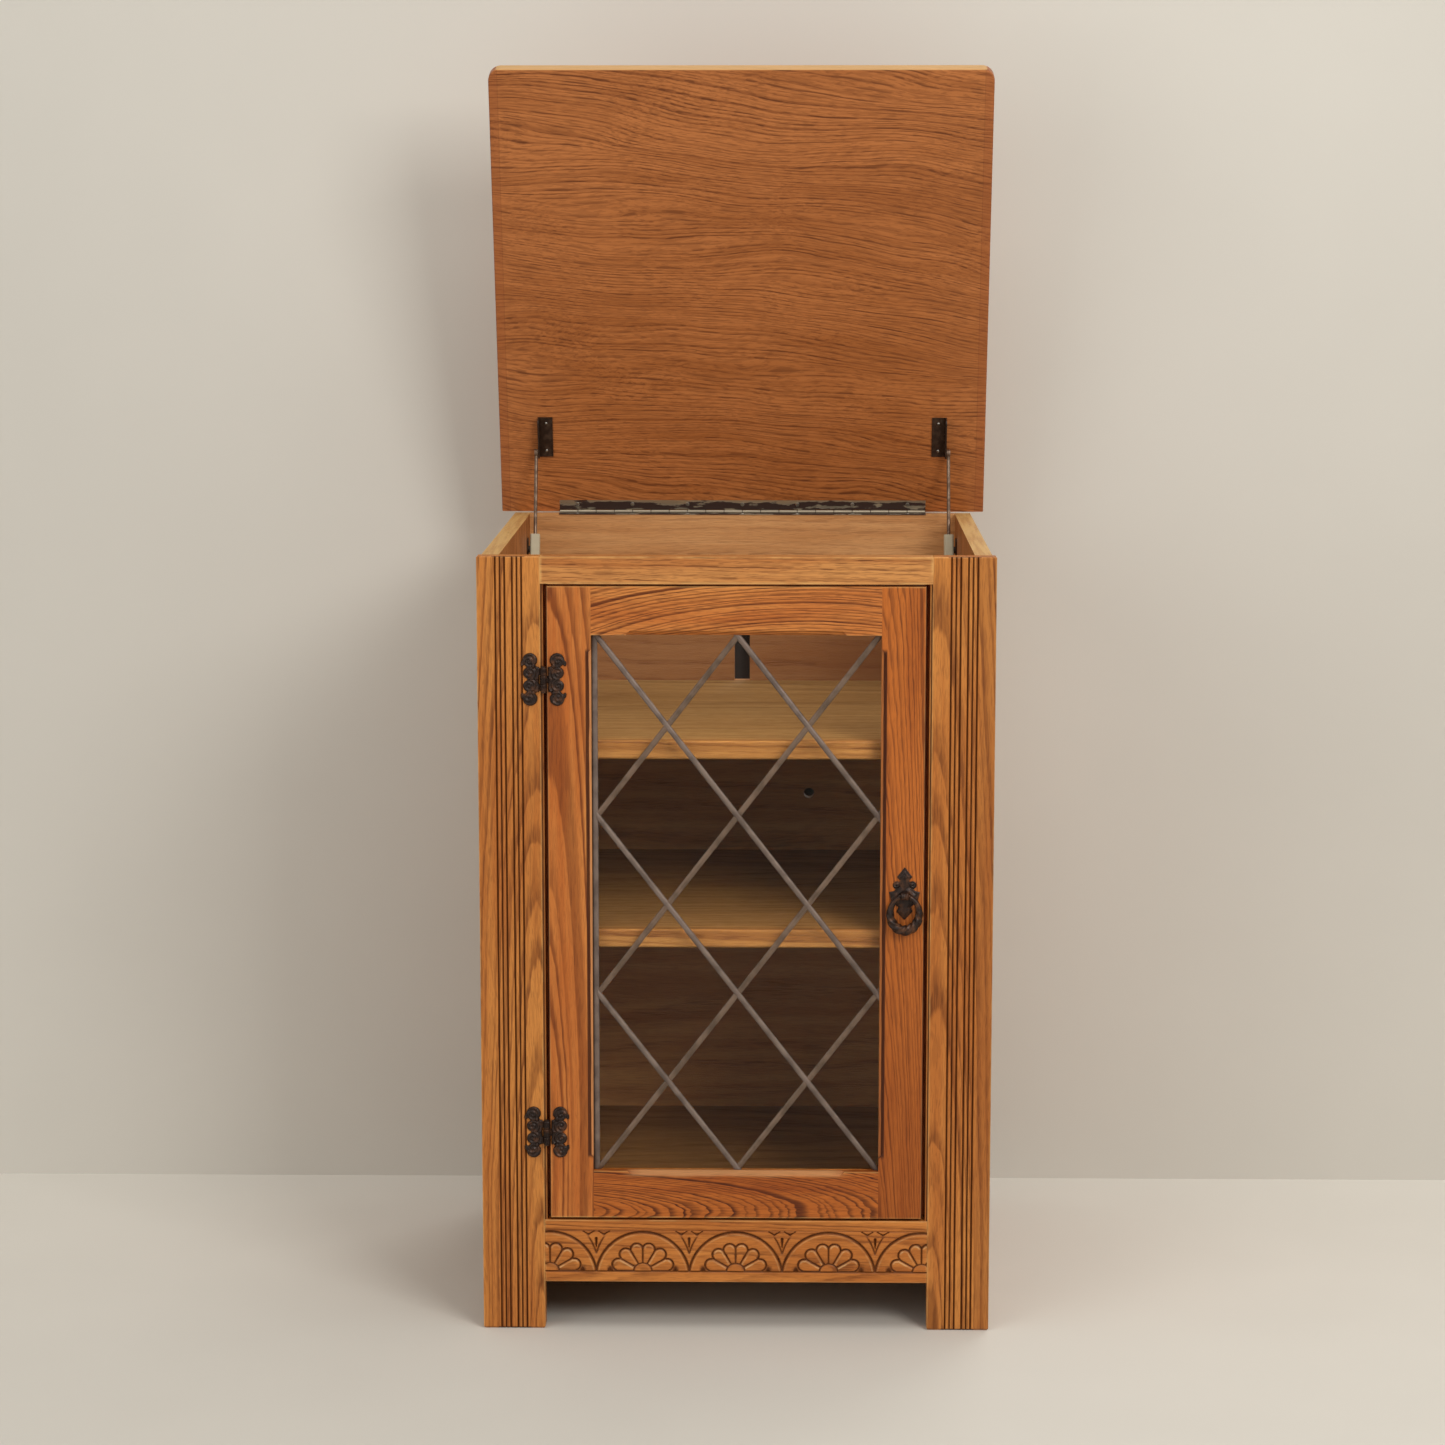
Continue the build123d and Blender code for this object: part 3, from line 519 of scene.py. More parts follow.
# Front apron: one solid board whose face is carved by hand with a row of half daisies under
# round arches, between two straight lines. The chisel cuts hold dark stain.
# All in millimetres: lower_line, flower_line and upper_line are heights above the floor, and an
# arch's centre lies arch_drop below flower_line.
apron_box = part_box("front_apron")
arch_pitch = 99.2
arch_radius = 50.1
arch_drop = 7.0
lunette_middle = -0.3
lower_line = apron_box[0][2] * 1000 + 11.4
flower_line = lower_line + 0.3
upper_line = apron_box[1][2] * 1000 - 11.5


def peak(distance, half_width):
    """1 on a line, falling evenly to 0 at half_width on either side."""
    return np.clip(1 - np.abs(distance) / half_width, 0, 1)


def step(distance, width):
    """0 up to a line, then rising evenly to 1 over a width."""
    return np.clip(distance / width, 0, 1)


def petal_outline(u, h):
    """Distance outside the half daisy's petals, and where a point lies along its own petal."""
    reach = np.hypot(u, h)
    angle = np.degrees(np.arctan2(h, u))
    petal = np.clip(np.floor(angle / 30), 0, 5) * 30 + 15
    off = np.radians(angle - petal)
    a, b = reach * np.cos(off), reach * np.sin(off)
    tip = 30.8 + 2.8 * np.cos(np.radians(petal)) ** 2
    club = tip - 6.4
    wedge = (np.abs(b) - a * 0.262) * 0.967
    return np.where(a < club, wedge, np.hypot(a - club, b) - 6.4), a, tip


def carving(x, z):
    """Depth of the carving, how much stain it holds and how much painted highlight it carries, at
    points of the face in millimetres."""
    u = (x - lunette_middle + arch_pitch / 2) % arch_pitch - arch_pitch / 2
    h = z - flower_line
    tall = upper_line - flower_line
    in_row = (h > -0.2) & (h < tall)

    # The two long lines and the arches.
    from_arch = np.hypot(u, h + arch_drop)
    cut = 0.8 * peak(z - upper_line, 0.9)
    cut = np.maximum(cut, 1.7 * peak(z - lower_line, 1.3))
    cut = np.maximum(cut, np.where(in_row, 2.4 * peak(from_arch - arch_radius, 1.9), 0))

    # Between the arches: two bent arms, a slot that widens upwards and two chips at the top.
    lean = np.degrees(np.arctan2(np.abs(u), h + arch_drop))
    arm_line = 55.9 + (62.6 - lean) / 28.1 * 7.0
    arm = step(h - 18.0, 2) * step(41.0 - h, 6)
    cut = np.maximum(cut, arm * 1.7 * peak(from_arch - arm_line, 1.4))
    s = u - np.sign(u) * arch_pitch / 2
    slot = step(h - 25.5, 10.5) * step(37.6 - h, 1.4)
    cut = np.maximum(cut, 3.0 * peak(s, 2.0 * slot**0.6 + 1e-6) * (slot > 0))
    chip = np.abs(np.abs(s) - 8.3)
    bow = tall - 1.0 - 3.6 * peak(chip, 5.5)
    notch = peak(h - bow, 0.9 + 1.1 * peak(chip, 3)) * (chip < 6.5)
    cut = np.maximum(cut, np.where(in_row, 2.2 * notch, 0))

    # The half daisy: hollowed petals round a raised half disc.
    reach = np.hypot(u, h)
    outline, a, tip = petal_outline(u, h)
    in_flower = (h > 0) & (reach < 40)
    round_top = np.hypot(u / 9.7, h / 8.7)
    is_petal = in_flower & (outline < 0) & (round_top > 1)
    hollow = 0.4 + 1.4 * peak(outline, 2.6) ** 2 + 0.8 * step(a - tip + 7, 7)
    face = np.where(is_petal, hollow, 0)
    face = np.where(in_flower & (round_top < 1), 0.3 + 0.9 * round_top**4, face)
    round_petals = in_flower & (round_top > 0.95) & (reach < 37)
    cut = np.maximum(cut, np.where(round_petals, 2.6 * peak(outline - 0.2, 1.5), 0))
    round_disc = in_flower & (reach < 14)
    cut = np.maximum(cut, np.where(round_disc, 2.1 * peak((round_top - 1) * 9.2, 1.3), 0))
    corner = peak(np.abs(u) - 34.8, 4.4) * step(7.5 - h, 7.5)
    cut = np.maximum(cut, np.where(h > -0.6, 3.6 * corner * (outline > -0.4), 0))

    # Painted highlight: on the petals' upper sides, which face the light, and on the ridge inside
    # each arch.
    upper_side = step(petal_outline(u, h + 0.2)[0] - outline, 0.16)
    worn = np.where(is_petal, peak(outline + 2.0, 1.1) * upper_side, 0)
    worn = np.maximum(worn, 0.45 * peak(from_arch - 47.4, 0.9) * in_row)
    return np.maximum(face, cut), step(cut, 1.5), worn * (cut < 0.3)


def upright_grid(name, columns, rows, width, height, middle):
    """A dense flat grid that stands facing the front."""
    deselect()
    bpy.ops.mesh.primitive_grid_add(x_subdivisions=columns, y_subdivisions=rows, size=1)
    piece = bpy.context.object
    piece.name = name
    piece.dimensions = (width, height, 0)
    piece.rotation_euler = (math.radians(90), 0, 0)
    piece.location = middle
    bpy.ops.object.transform_apply(location=True, rotation=True, scale=True)
    return piece


def select_rim(piece):
    """Selects the open rim of the piece that is being edited."""
    bpy.ops.mesh.select_all(action="DESELECT")
    form = bmesh.from_edit_mesh(piece.data)
    for edge in [e for e in form.edges if e.is_boundary]:
        edge.select_set(True)


def close_rim():
    """Closes the selected rim with one face, turns all faces outwards and ends the editing."""
    bpy.ops.mesh.edge_face_add()
    bpy.ops.mesh.select_all(action="SELECT")
    bpy.ops.mesh.normals_make_consistent(inside=False)
    bpy.ops.object.mode_set(mode="OBJECT")


def solid_front(name, low, high, columns, rows, ease):
    """A board whose face is a dense grid, with eased edges, plain sides and a plain back."""
    width, height = high.x - low.x, high.z - low.z
    middle = (low + high) / 2
    at = (middle.x, low.y, middle.z)
    piece = upright_grid(name, columns, rows, width - ease * 2, height - ease * 2, at)
    bpy.ops.object.mode_set(mode="EDIT")
    for widened, y in ((True, low.y + ease), (False, high.y)):
        select_rim(piece)
        bpy.ops.mesh.extrude_edges_move()
        form = bmesh.from_edit_mesh(piece.data)
        for vert in [v for v in form.verts if v.select]:
            vert.co.y = y
            if widened and abs(vert.co.x - middle.x) > width / 2 - ease * 1.01:
                vert.co.x = high.x if vert.co.x > middle.x else low.x
            if widened and abs(vert.co.z - middle.z) > height / 2 - ease * 1.01:
                vert.co.z = high.z if vert.co.z > middle.z else low.z
        bmesh.update_edit_mesh(piece.data)
    select_rim(piece)
    close_rim()
    return piece


def corners(piece):
    """The piece's points as an array."""
    points = np.empty(len(piece.data.vertices) * 3)
    piece.data.vertices.foreach_get("co", points)
    return points.reshape(-1, 3)


low, high = (Vector(c) for c in apron_box)
apron = solid_front("carved_apron", low, high, 640, 112, 0.0007)
points = corners(apron)
on_face = np.abs(points[:, 1] - low.y) < 1e-6
sunk, held, worn = carving(points[:, 0] * 1000, points[:, 2] * 1000)
points[:, 1] += np.where(on_face, sunk / 1000, 0)
apron.data.vertices.foreach_set("co", points.ravel())
# The stain that the cuts hold, and the painted highlight on the ridges, kept on the points.
for name, amount in (("stain", held), ("carving_highlight", worn)):
    layer = apron.data.attributes.new(name, "FLOAT", "POINT")
    layer.data.foreach_set("value", np.where(on_face, amount, 0))
smooth(40)
apron_oak = oak_finish(
    "oak of the apron", apron_box, level_front, 8.2, 0.0045, (0.02, 0.05), 0.03, 0.004,
    pale=(208, 132, 62), brown=(182, 106, 44), pores=0.5, rings=0.5, edge=0.0018,
)


def cut_stain(tree):
    """The stain that the chisel cuts hold."""
    return put(tree, "ShaderNodeAttribute", output=2, attribute_name="stain")


def carving_highlight(tree):
    """Where the carving's ridges carry a painted highlight, unevenly."""
    ridge = put(tree, "ShaderNodeAttribute", output=2, attribute_name="carving_highlight")
    return times(tree, ridge, ramp(tree, blotches(tree, placed(tree)[0], 90, 2), 0.4, 0.6, 0.3, 1))


# Painted highlight on the carving's ridges, then the stain of the cuts.
stained(apron_oak, carving_highlight, (226, 184, 128), 0.75)
stained(apron_oak, cut_stain, (74, 36, 14), 0.85)
rides(apron, "carcass", apron_oak)
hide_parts("front_apron")

# Side panels: oak-veneered boards with the grain upright, glued into the posts, their sawn upper
# edges left raw and pale, with streaks.
rim_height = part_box("left_side_panel")[1][2]


def raw_edge(tree):
    """1 on the upper edge."""
    place, x, y, z = placed(tree)
    drawn = put(tree, "ShaderNodeMapping", {"Vector": place, "Scale": (220, 9, 1)})
    streaks = ramp(tree, blotches(tree, drawn, 1, 3), 0.35, 0.6, 0.55, 1)
    return times(tree, ramp(tree, z, rim_height - 0.0006, rim_height - 0.0003), streaks)


for name, seed in (("left_side_panel", 31.0), ("right_side_panel", 34.0)):
    panel_veneer = dress_in_oak(
        name, upright_side, seed, 0.0075, (0.02, 0.08), 0.035, 0.012,
        wood="oak veneer", pale=(192, 126, 66), brown=(166, 100, 48), rings=0.6,
    )
    stained(panel_veneer, raw_edge, (214, 176, 112), 0.92)

# Back board: veneered board, plain and smooth, with the slot and the hole for cables. Its inner
# face has a darker, redder band of painted shade behind the top of the door, below the part
# near the rim, and the wall of the cable hole is painted dark as shade.
back_inner_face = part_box("back_board")[0][1]
shelf_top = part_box("turntable_shelf")[1][2]
hole_x, hole_z = 0.079, 0.5
hole_radius = 0.006


def shaded_band(tree):
    """1 on the inner face between the upper shelf and the part near the rim."""
    place, x, y, z = placed(tree)
    limits = (shelf_top - 0.022, shelf_top - 0.004, rim_height - 0.13, rim_height - 0.04)
    inside = maths(tree, "LESS_THAN", y, back_inner_face + 0.002)
    return times(tree, between(tree, z, *limits), inside)


def hole_shade(tree):
    """1 on the wall of the cable hole, painted dark as shade."""
    across = vectors(tree, "MULTIPLY", placed(tree)[0], (1, 0, 1))
    away = vectors(tree, "DISTANCE", across, (hole_x, 0, hole_z), output=1)
    return ramp(tree, away, hole_radius + 0.0001, hole_radius + 0.0004, 1, 0)


back_veneer = dress_in_oak(
    "back_board", level_front, 41.0, 0.012, (0.1, 0.4), 0.02, 0.01, wood="veneer",
    pale=(218, 164, 108), brown=(196, 138, 84), dark=(150, 94, 52), rings=0.3, pores=0.4,
    edge_share=0.3,
)
# Painted shade: a darker, redder band on the inner face behind the top of the door.
stained(back_veneer, shaded_band, (100, 44, 14), 0.5)
# Painted shade on the wall of the cable hole.
stained(back_veneer, hole_shade, (48, 26, 14), 0.95)

# Bottom board, shelves and their solid lippings: olive-brown veneer with the grain across the
# cabinet, oak along the front edge. Softwood glue blocks under the bottom board.
for name, seed, pale, brown in (
    ("bottom_board", 51.0, (176, 132, 80), (150, 108, 62)),
    ("turntable_shelf", 53.0, (186, 148, 92), (160, 122, 70)),
    ("lower_shelf", 56.0, (180, 138, 84), (154, 112, 64)),
):
    dress_in_oak(
        name, level_flat, seed, 0.009, (0.1, 0.3), 0.03, 0.01, wood="veneer",
        pale=pale, brown=brown, dark=(120, 80, 42), rings=0.4, pores=0.4, edge_share=0.3,
    )
for name, seed in (("turntable_shelf_lipping", 61.0), ("lower_shelf_lipping", 63.0)):
    dress_in_oak(
        name, level_front, seed, 0.006, (0.04, 0.06), 0.02, 0.004,
        pale=(184, 132, 72), brown=(160, 108, 54), rings=0.5, pores=0.5,
    )
dress_in_oak(
    "glue_blocks", level_flat, 66.0, 0.003, (0.05, 0.1), 0.02, 0.002, wood="softwood",
    pale=(214, 178, 122), brown=(196, 154, 98), dark=(168, 116, 66), rings=0.6, pores=0.05,
)

# Door frame: two stiles and two rails of redder oak, tenoned together, the inner edges chamfered
# between stops, and four glazing beads pinned behind the glass.
sight_half, stile_edge = (corner[0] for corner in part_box("right_door_stile"))
sight_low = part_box("door_bottom_rail")[1][2]
sight_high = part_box("door_top_rail")[0][2]
chamfer_reach = sight_half + 0.0066


def place_in_stile(tree):
    """How deep a point of a stile lies behind its face, a little uneven, how far across and up."""
    place, x, y, z = placed(tree)
    wander = times(tree, blotches(tree, place, 30, 2), 0.0012)
    sunk = maths(tree, "ADD", maths(tree, "SUBTRACT", y, post_face), wander)
    return sunk, maths(tree, "ABSOLUTE", x), z


def chamfer_wear_and_highlight(tree):
    """1 along the pale line beside the glass: wear with a painted highlight where the chamfer faces
    the light.
    """
    sunk, across, up = place_in_stile(tree)
    line = between(tree, sunk, 0.0031, 0.0036, 0.0056, 0.0062)
    return times(tree, line, maths(tree, "LESS_THAN", across, chamfer_reach))


def chamfer_stain_and_arris_shade(tree):
    """1 on the stained rest of the chamfer and on the face close beside it, and on the outer arris,
    which is painted shade from the gap.
    """
    sunk, across, up = place_in_stile(tree)
    edges = between(tree, sunk, 0.0007, 0.0012, 0.0100, 0.0112)
    edges = times(tree, edges, maths(tree, "LESS_THAN", across, chamfer_reach))
    beside = ramp(tree, across, chamfer_reach - 0.0012, chamfer_reach - 0.0004, 1, 0)
    beside = times(tree, beside, ramp(tree, sunk, 0.0012, 0.0016, 1, 0))
    limits = (sight_low + 0.013, sight_low + 0.018, sight_high - 0.018, sight_high - 0.013)
    beside = times(tree, beside, between(tree, up, *limits))
    edges = maths(tree, "MAXIMUM", edges, beside)
    # The outer arris beside the gap: painted shade.
    arris = ramp(tree, across, stile_edge - 0.0009, stile_edge - 0.0004)
    arris = times(tree, arris, ramp(tree, sunk, 0.0016, 0.0032, 1, 0))
    return maths(tree, "MAXIMUM", maths(tree, "SUBTRACT", edges, chamfer_wear_and_highlight(tree)), arris)


def darker_foot(tree):
    """1 at the foot of the right stile, fading up it."""
    return ramp(tree, placed(tree)[3], 0.15, 0.60, 1, 0)


def rail_chamfer(tree):
    """1 on the bottom rail's chamfer, worn pale and given a painted highlight where it faces up to
    the light, fading down its face and to its stops.
    """
    place, x, y, z = placed(tree)
    wander = times(tree, blotches(tree, place, 40, 2), 0.003)
    sloping = ramp(tree, maths(tree, "ADD", z, wander), sight_low - 0.0065, sight_low - 0.0012)
    across = maths(tree, "ABSOLUTE", x)
    return times(tree, sloping, ramp(tree, across, sight_half - 0.0534, sight_half - 0.0254, 1, 0))


reddish = dict(pale=(210, 134, 66), brown=(186, 102, 42), dark=(122, 58, 18))
redder = dict(pale=(192, 107, 42), brown=(154, 76, 25), dark=(84, 34, 9))
striped = dict(pale=(212, 136, 68), brown=(188, 104, 44), dark=(100, 44, 10))
# Grain sway, and the width and share of the pale edges: wear with a painted highlight.
frame_sway_and_edges = dict(sway=0.004, edge=0.0018, edge_share=0.5)
left_stile = dress_in_oak(
    "left_door_stile", upright_front, 71.0, 0.0083, (-0.024, 0.022), 0.075,
    rings=0.9, pores=0.45, jointed=(0, 0.02), **frame_sway_and_edges, **reddish,
)
right_stile = dress_in_oak(
    "right_door_stile", upright_front, 74.5, 0.0024, (-0.035, 0.05), 0.05,
    rings=0.75, pores=0.45, jointed=(0.02, 0), **frame_sway_and_edges, **redder,
)
dress_in_oak(
    "door_top_rail", level_front, 77.0, 0.0036, (0.1, -0.026), 0.36,
    rings=1.0, pores=0.75, jointed=(0.02, 0.02), **frame_sway_and_edges, **striped,
)
bottom_rail = dress_in_oak(
    "door_bottom_rail", level_front, 79.0, 0.0019, (0.0195, 0.036), 0.15,
    rings=1.0, pores=0.6, jointed=(0.02, 0.02), **frame_sway_and_edges, **redder,
)
stained(right_stile, darker_foot, (120, 53, 8), 0.35)
# On each stile: dark stain on the chamfer, painted shade on the outer arris, and a pale line of wear
# with a painted highlight, stronger on the left stile, whose chamfer faces the light.
for stile, wear_and_highlight_share in ((left_stile, 0.55), (right_stile, 0.2)):
    stained(stile, chamfer_stain_and_arris_shade, (66, 27, 9), 0.92)
    stained(stile, chamfer_wear_and_highlight, (222, 160, 108), wear_and_highlight_share)
# The bottom rail's chamfer: wear with a painted highlight, as it faces up to the light.
stained(bottom_rail, rail_chamfer, (208, 154, 98), 0.55)
for name, lie, seed in (
    ("top_glazing_bead", level_front, 81.0),
    ("bottom_glazing_bead", level_front, 82.0),
    ("left_glazing_bead", upright_front, 83.0),
    ("right_glazing_bead", upright_front, 84.0),
):
    dress_in_oak(name, lie, seed, 0.004, (0.02, 0.04), 0.02, 0.003, **reddish)

# Glass: one clear pane of float glass, laid in the door's rebate, slightly wavy and wiped not
# quite clean. Lamps shine through it, tinted warm.
glass, tree, shader, place = new_finish("door glass")
smears = ramp(tree, blotches(tree, place, 22, 4), 0.5, 0.75, 0.015, 0.06)
feeds = {"Base Color": (0.97, 0.985, 0.97, 1), "Transmission Weight": 1.0, "IOR": 1.18}
fill(tree, shader.inputs, {**feeds, "Roughness": smears})
bump(tree, shader, blotches(tree, place, 9, 1), 0.0002)
clear = put(tree, "ShaderNodeBsdfTransparent", {"Color": (0.96, 0.87, 0.75, 1)})
lamp_ray = put(tree, "ShaderNodeLightPath", output=1)
show(tree, put(tree, "ShaderNodeMixShader", {0: lamp_ray, 1: shader.outputs[0], 2: clear}))
dress("glass_pane", glass)


# Lead lattice: self-adhesive lead strip with a rounded crown, pressed onto the face of the pane
# in diamonds. The falling strips cross over the rising ones, one upright strip runs at the left.
def mottled(name, patches, first, second, sheen, metallic, relief, depth):
    """A finish of two colours in patches, with a sheen and a relief of their own: each is given
    as its noise's scale and detail, then its limits."""
    finish, tree, shader, place = new_finish(name)
    scale, detail, low, high = patches
    share = ramp(tree, blotches(tree, place, scale, detail), low, high)
    shade = blend(tree, share, colour(*first), colour(*second))
    scale, detail, smooth, rough = sheen
    sheen = ramp(tree, blotches(tree, place, scale, detail), 0.3, 0.7, smooth, rough)
    fill(tree, shader.inputs, {"Base Color": shade, "Roughness": sheen, "Metallic": metallic})
    bump(tree, shader, blotches(tree, place, *relief), depth)
    return finish


tarnish = (60, 4, 0.35, 0.7)
lead_look = ((220, 2, 0.42, 0.6), 0.35, (500, 2), 0.00012)
lead = mottled("oxidised lead", tarnish, (127, 110, 100), (98, 83, 75), *lead_look)
brown_lead = mottled("browner lead", tarnish, (122, 100, 84), (92, 74, 60), *lead_look)
lead_half = 0.0031
low_crown = 0.00125
high_crown = 0.0021
pane_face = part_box("glass_pane")[0][1]
opening_low, opening_high = (Vector(c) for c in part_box("rising_lead_strips"))
lattice_left = 0.0054 - sight_half
lattice_right = sight_half - 0.0024
lattice_low = sight_low + 0.0014
lattice_high = sight_high - 0.0014
lattice_x = (lattice_left + lattice_right) / 2
lattice_z = (lattice_low + lattice_high) / 2
half_diamond_x = (lattice_right - lattice_left) / 4
half_diamond_z = (lattice_high - lattice_low) / 6
rake = math.atan2(half_diamond_z, half_diamond_x)


def trim(piece, at, outwards):
    """Cuts a piece off at a plane, drops what lies outwards of it and closes the cut."""
    edit_whole()
    bpy.ops.mesh.bisect(plane_co=at, plane_no=outwards, use_fill=True, clear_outer=True)
    bpy.ops.object.mode_set(mode="OBJECT")


def lead_strip(x, z, turn, length, crown):
    """A strip through a point of the pane's face, with a crowned front and a flat back."""
    deselect()
    middle = (x, pane_face, z)
    bpy.ops.mesh.primitive_cylinder_add(vertices=20, radius=lead_half, depth=length, location=middle)
    strip = bpy.context.object
    strip.scale = (1, crown / lead_half, 1)
    strip.rotation_euler = (0, math.radians(90) - turn, 0)
    bpy.ops.object.transform_apply(location=True, rotation=True, scale=True)
    trim(strip, (0, pane_face, 0), (0, 1, 0))
    return strip


for name, node, slope, crown, finish in (
    ("rising_leads", "rising_lead_strips", 1, low_crown, brown_lead),
    ("falling_leads", "falling_lead_strips", -1, high_crown, lead),
):
    strips = []
    for row in (-3, -1, 1, 3):
        strip = lead_strip(lattice_x, lattice_z + half_diamond_z * row, rake * slope, 1.2, crown)
        trim(strip, opening_low, (-1, 0, 0))
        trim(strip, opening_high, (1, 0, 0))
        trim(strip, opening_low, (0, 0, -1))
        trim(strip, opening_high, (0, 0, 1))
        strips.append(strip)
    lattice = joined(strips, name)
    smooth(50)
    rides(lattice, "door", finish)
    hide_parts(node)
edge_low, edge_high = (Vector(c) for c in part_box("edge_lead_strip"))
edge_x, edge_z = edge_low.x + lead_half, (edge_low.z + edge_high.z) / 2
edge_lead = lead_strip(edge_x, edge_z, math.radians(90), edge_high.z - edge_low.z, low_crown)
edge_lead.name = "edge_lead"
smooth(50)
rides(edge_lead, "door", lead)
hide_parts("edge_lead_strip")

# Door hinges: two cast butterfly hinges on the face, iron finished nearly black and rubbed to a
# brown bronze here and there. Each leaf has two bulges and a curled lobe at either end, scrolls
# in relief and two round-headed nails; the barrel is ringed. Castings are made in millimetres.
iron = mottled(
    "black iron casting", (130, 4, 0.45, 0.72), (36, 19, 10), (88, 53, 29),
    (420, 3, 0.32, 0.52), 0.35, (420, 3), 0.00022,
)
dress("upper_hinge_pin", iron)
dress("lower_hinge_pin", iron)


def circle(x, z, across, up, radius):
    """Distance outside a circle."""
    return np.hypot(x - across, z - up) - radius


def block(x, z, across, up, half_width, half_height):
    """Distance outside an upright rectangle."""
    dx, dz = np.abs(x - across) - half_width, np.abs(z - up) - half_height
    return np.hypot(np.maximum(dx, 0), np.maximum(dz, 0)) + np.minimum(np.maximum(dx, dz), 0)


def fused(first, second, fillet=1.2):
    """Two outlines run together with a soft corner, as in a casting."""
    share = np.clip(0.5 + (second - first) / (2 * fillet), 0, 1)
    return second + (first - second) * share - fillet * share * (1 - share)


def casting(name, outline, thickness, half_width, low, high, pitch=0.45):
    """A plate on y = 0 that fills an outline, its face raised towards -y; all in millimetres."""
    columns, rows = round(half_width * 2 / pitch), round((high - low) / pitch)
    middle = (0, 0, (low + high) / 2)
    piece = upright_grid(name, columns, rows, half_width * 2, high - low, middle)
    points = corners(piece)
    away = outline(points[:, 0], points[:, 2])
    bpy.ops.object.mode_set(mode="EDIT")
    bpy.ops.mesh.select_all(action="DESELECT")
    form = bmesh.from_edit_mesh(piece.data)
    for face in form.faces:
        if sum(away[v.index] for v in face.verts) > 0:
            face.select_set(True)
    bpy.ops.mesh.delete(type="FACE")

    # The stepped rim is drawn onto the outline, and the face is raised.
    form = bmesh.from_edit_mesh(piece.data)
    rim = [v for v in form.verts if v.is_boundary]
    for turn in range(3):
        x, z = np.array([v.co.x for v in rim]), np.array([v.co.z for v in rim])
        off = outline(x, z)
        slope_x = (outline(x + 0.05, z) - off) / 0.05
        slope_z = (outline(x, z + 0.05) - off) / 0.05
        for vert, dx, dz in zip(rim, off * slope_x, off * slope_z):
            vert.co.x -= dx
            vert.co.z -= dz
    everyone = list(form.verts)
    x, z = np.array([v.co.x for v in everyone]), np.array([v.co.z for v in everyone])
    for vert, height in zip(everyone, thickness(x, z, -outline(x, z))):
        vert.co.y = -height
    select_rim(piece)
    bpy.ops.mesh.extrude_edges_move()
    form = bmesh.from_edit_mesh(piece.data)
    for vert in [v for v in form.verts if v.select]:
        vert.co.y = 0
    close_rim()
    return piece


def turned(name, profile, centre, axis, steps=32):
    """A piece turned on a lathe: a profile of (radius, along) spun round an axis, in millimetres."""
    deselect()
    bpy.ops.mesh.primitive_plane_add(size=1)
    piece = bpy.context.object
    piece.name = name
    out = Vector((0, -1, 0))
    form = bmesh.new()
    row = [form.verts.new(Vector(centre) + out * r + Vector(axis) * along) for r, along in profile]
    for first, second in zip(row, row[1:]):
        form.edges.new((first, second))
    form.to_mesh(piece.data)
    form.free()
    edit_whole()
    bpy.ops.mesh.spin(steps=steps, angle=math.tau, center=centre, axis=axis)
    bpy.ops.mesh.select_all(action="SELECT")
    bpy.ops.mesh.remove_doubles(threshold=0.002)
    bpy.ops.mesh.normals_make_consistent(inside=False)
    bpy.ops.object.mode_set(mode="OBJECT")
    return piece


def set_in_place(piece, spot, side=1):
    """Shrinks a piece made in millimetres to metres and moves it to its spot, mirrored if side is
    -1."""
    size = Matrix.Diagonal((0.001 * side, 0.001, 0.001, 1))
    piece.data.transform(Matrix.Translation(spot) @ size)
    if side < 0:
        piece.data.flip_normals()


def scrolls(x, z, inside):
    """Thickness of a leaf: rounded rim, curls round the lobes and bulges, nail heads."""
    rim = 0.9 + np.sqrt(1 - (1 - step(inside, 1.6)) ** 2)
    side = np.sign(z)
    lobe = np.hypot(x - 15.2, z - 19.0 * side)
    turn = np.arctan2((z - 19.0 * side) * side, x - 15.2) / math.tau
    bulge = np.hypot(x - 15.1, z - 6.7 * side)
    bend = np.arctan2((z - 6.7 * side) * side, x - 15.1) / math.tau
    curl = np.cos(math.tau * (lobe / 4.4 + turn))
    crescent = np.cos(math.tau * (bulge / 4.0 - bend))
    share = step(np.abs(z) - 11, 2)
    wave = (curl * share + crescent * (1 - share)) * step(inside, 1.5)
    nail = np.hypot(x - 10.6, np.abs(z) - 14.2)
    head = np.clip(1 - (nail / 1.9) ** 2, 0, 1)
    return rim + 0.55 * wave * (nail > 2.2) + 1.1 * np.sqrt(head) - 0.5 * peak(nail - 2.3, 0.6)


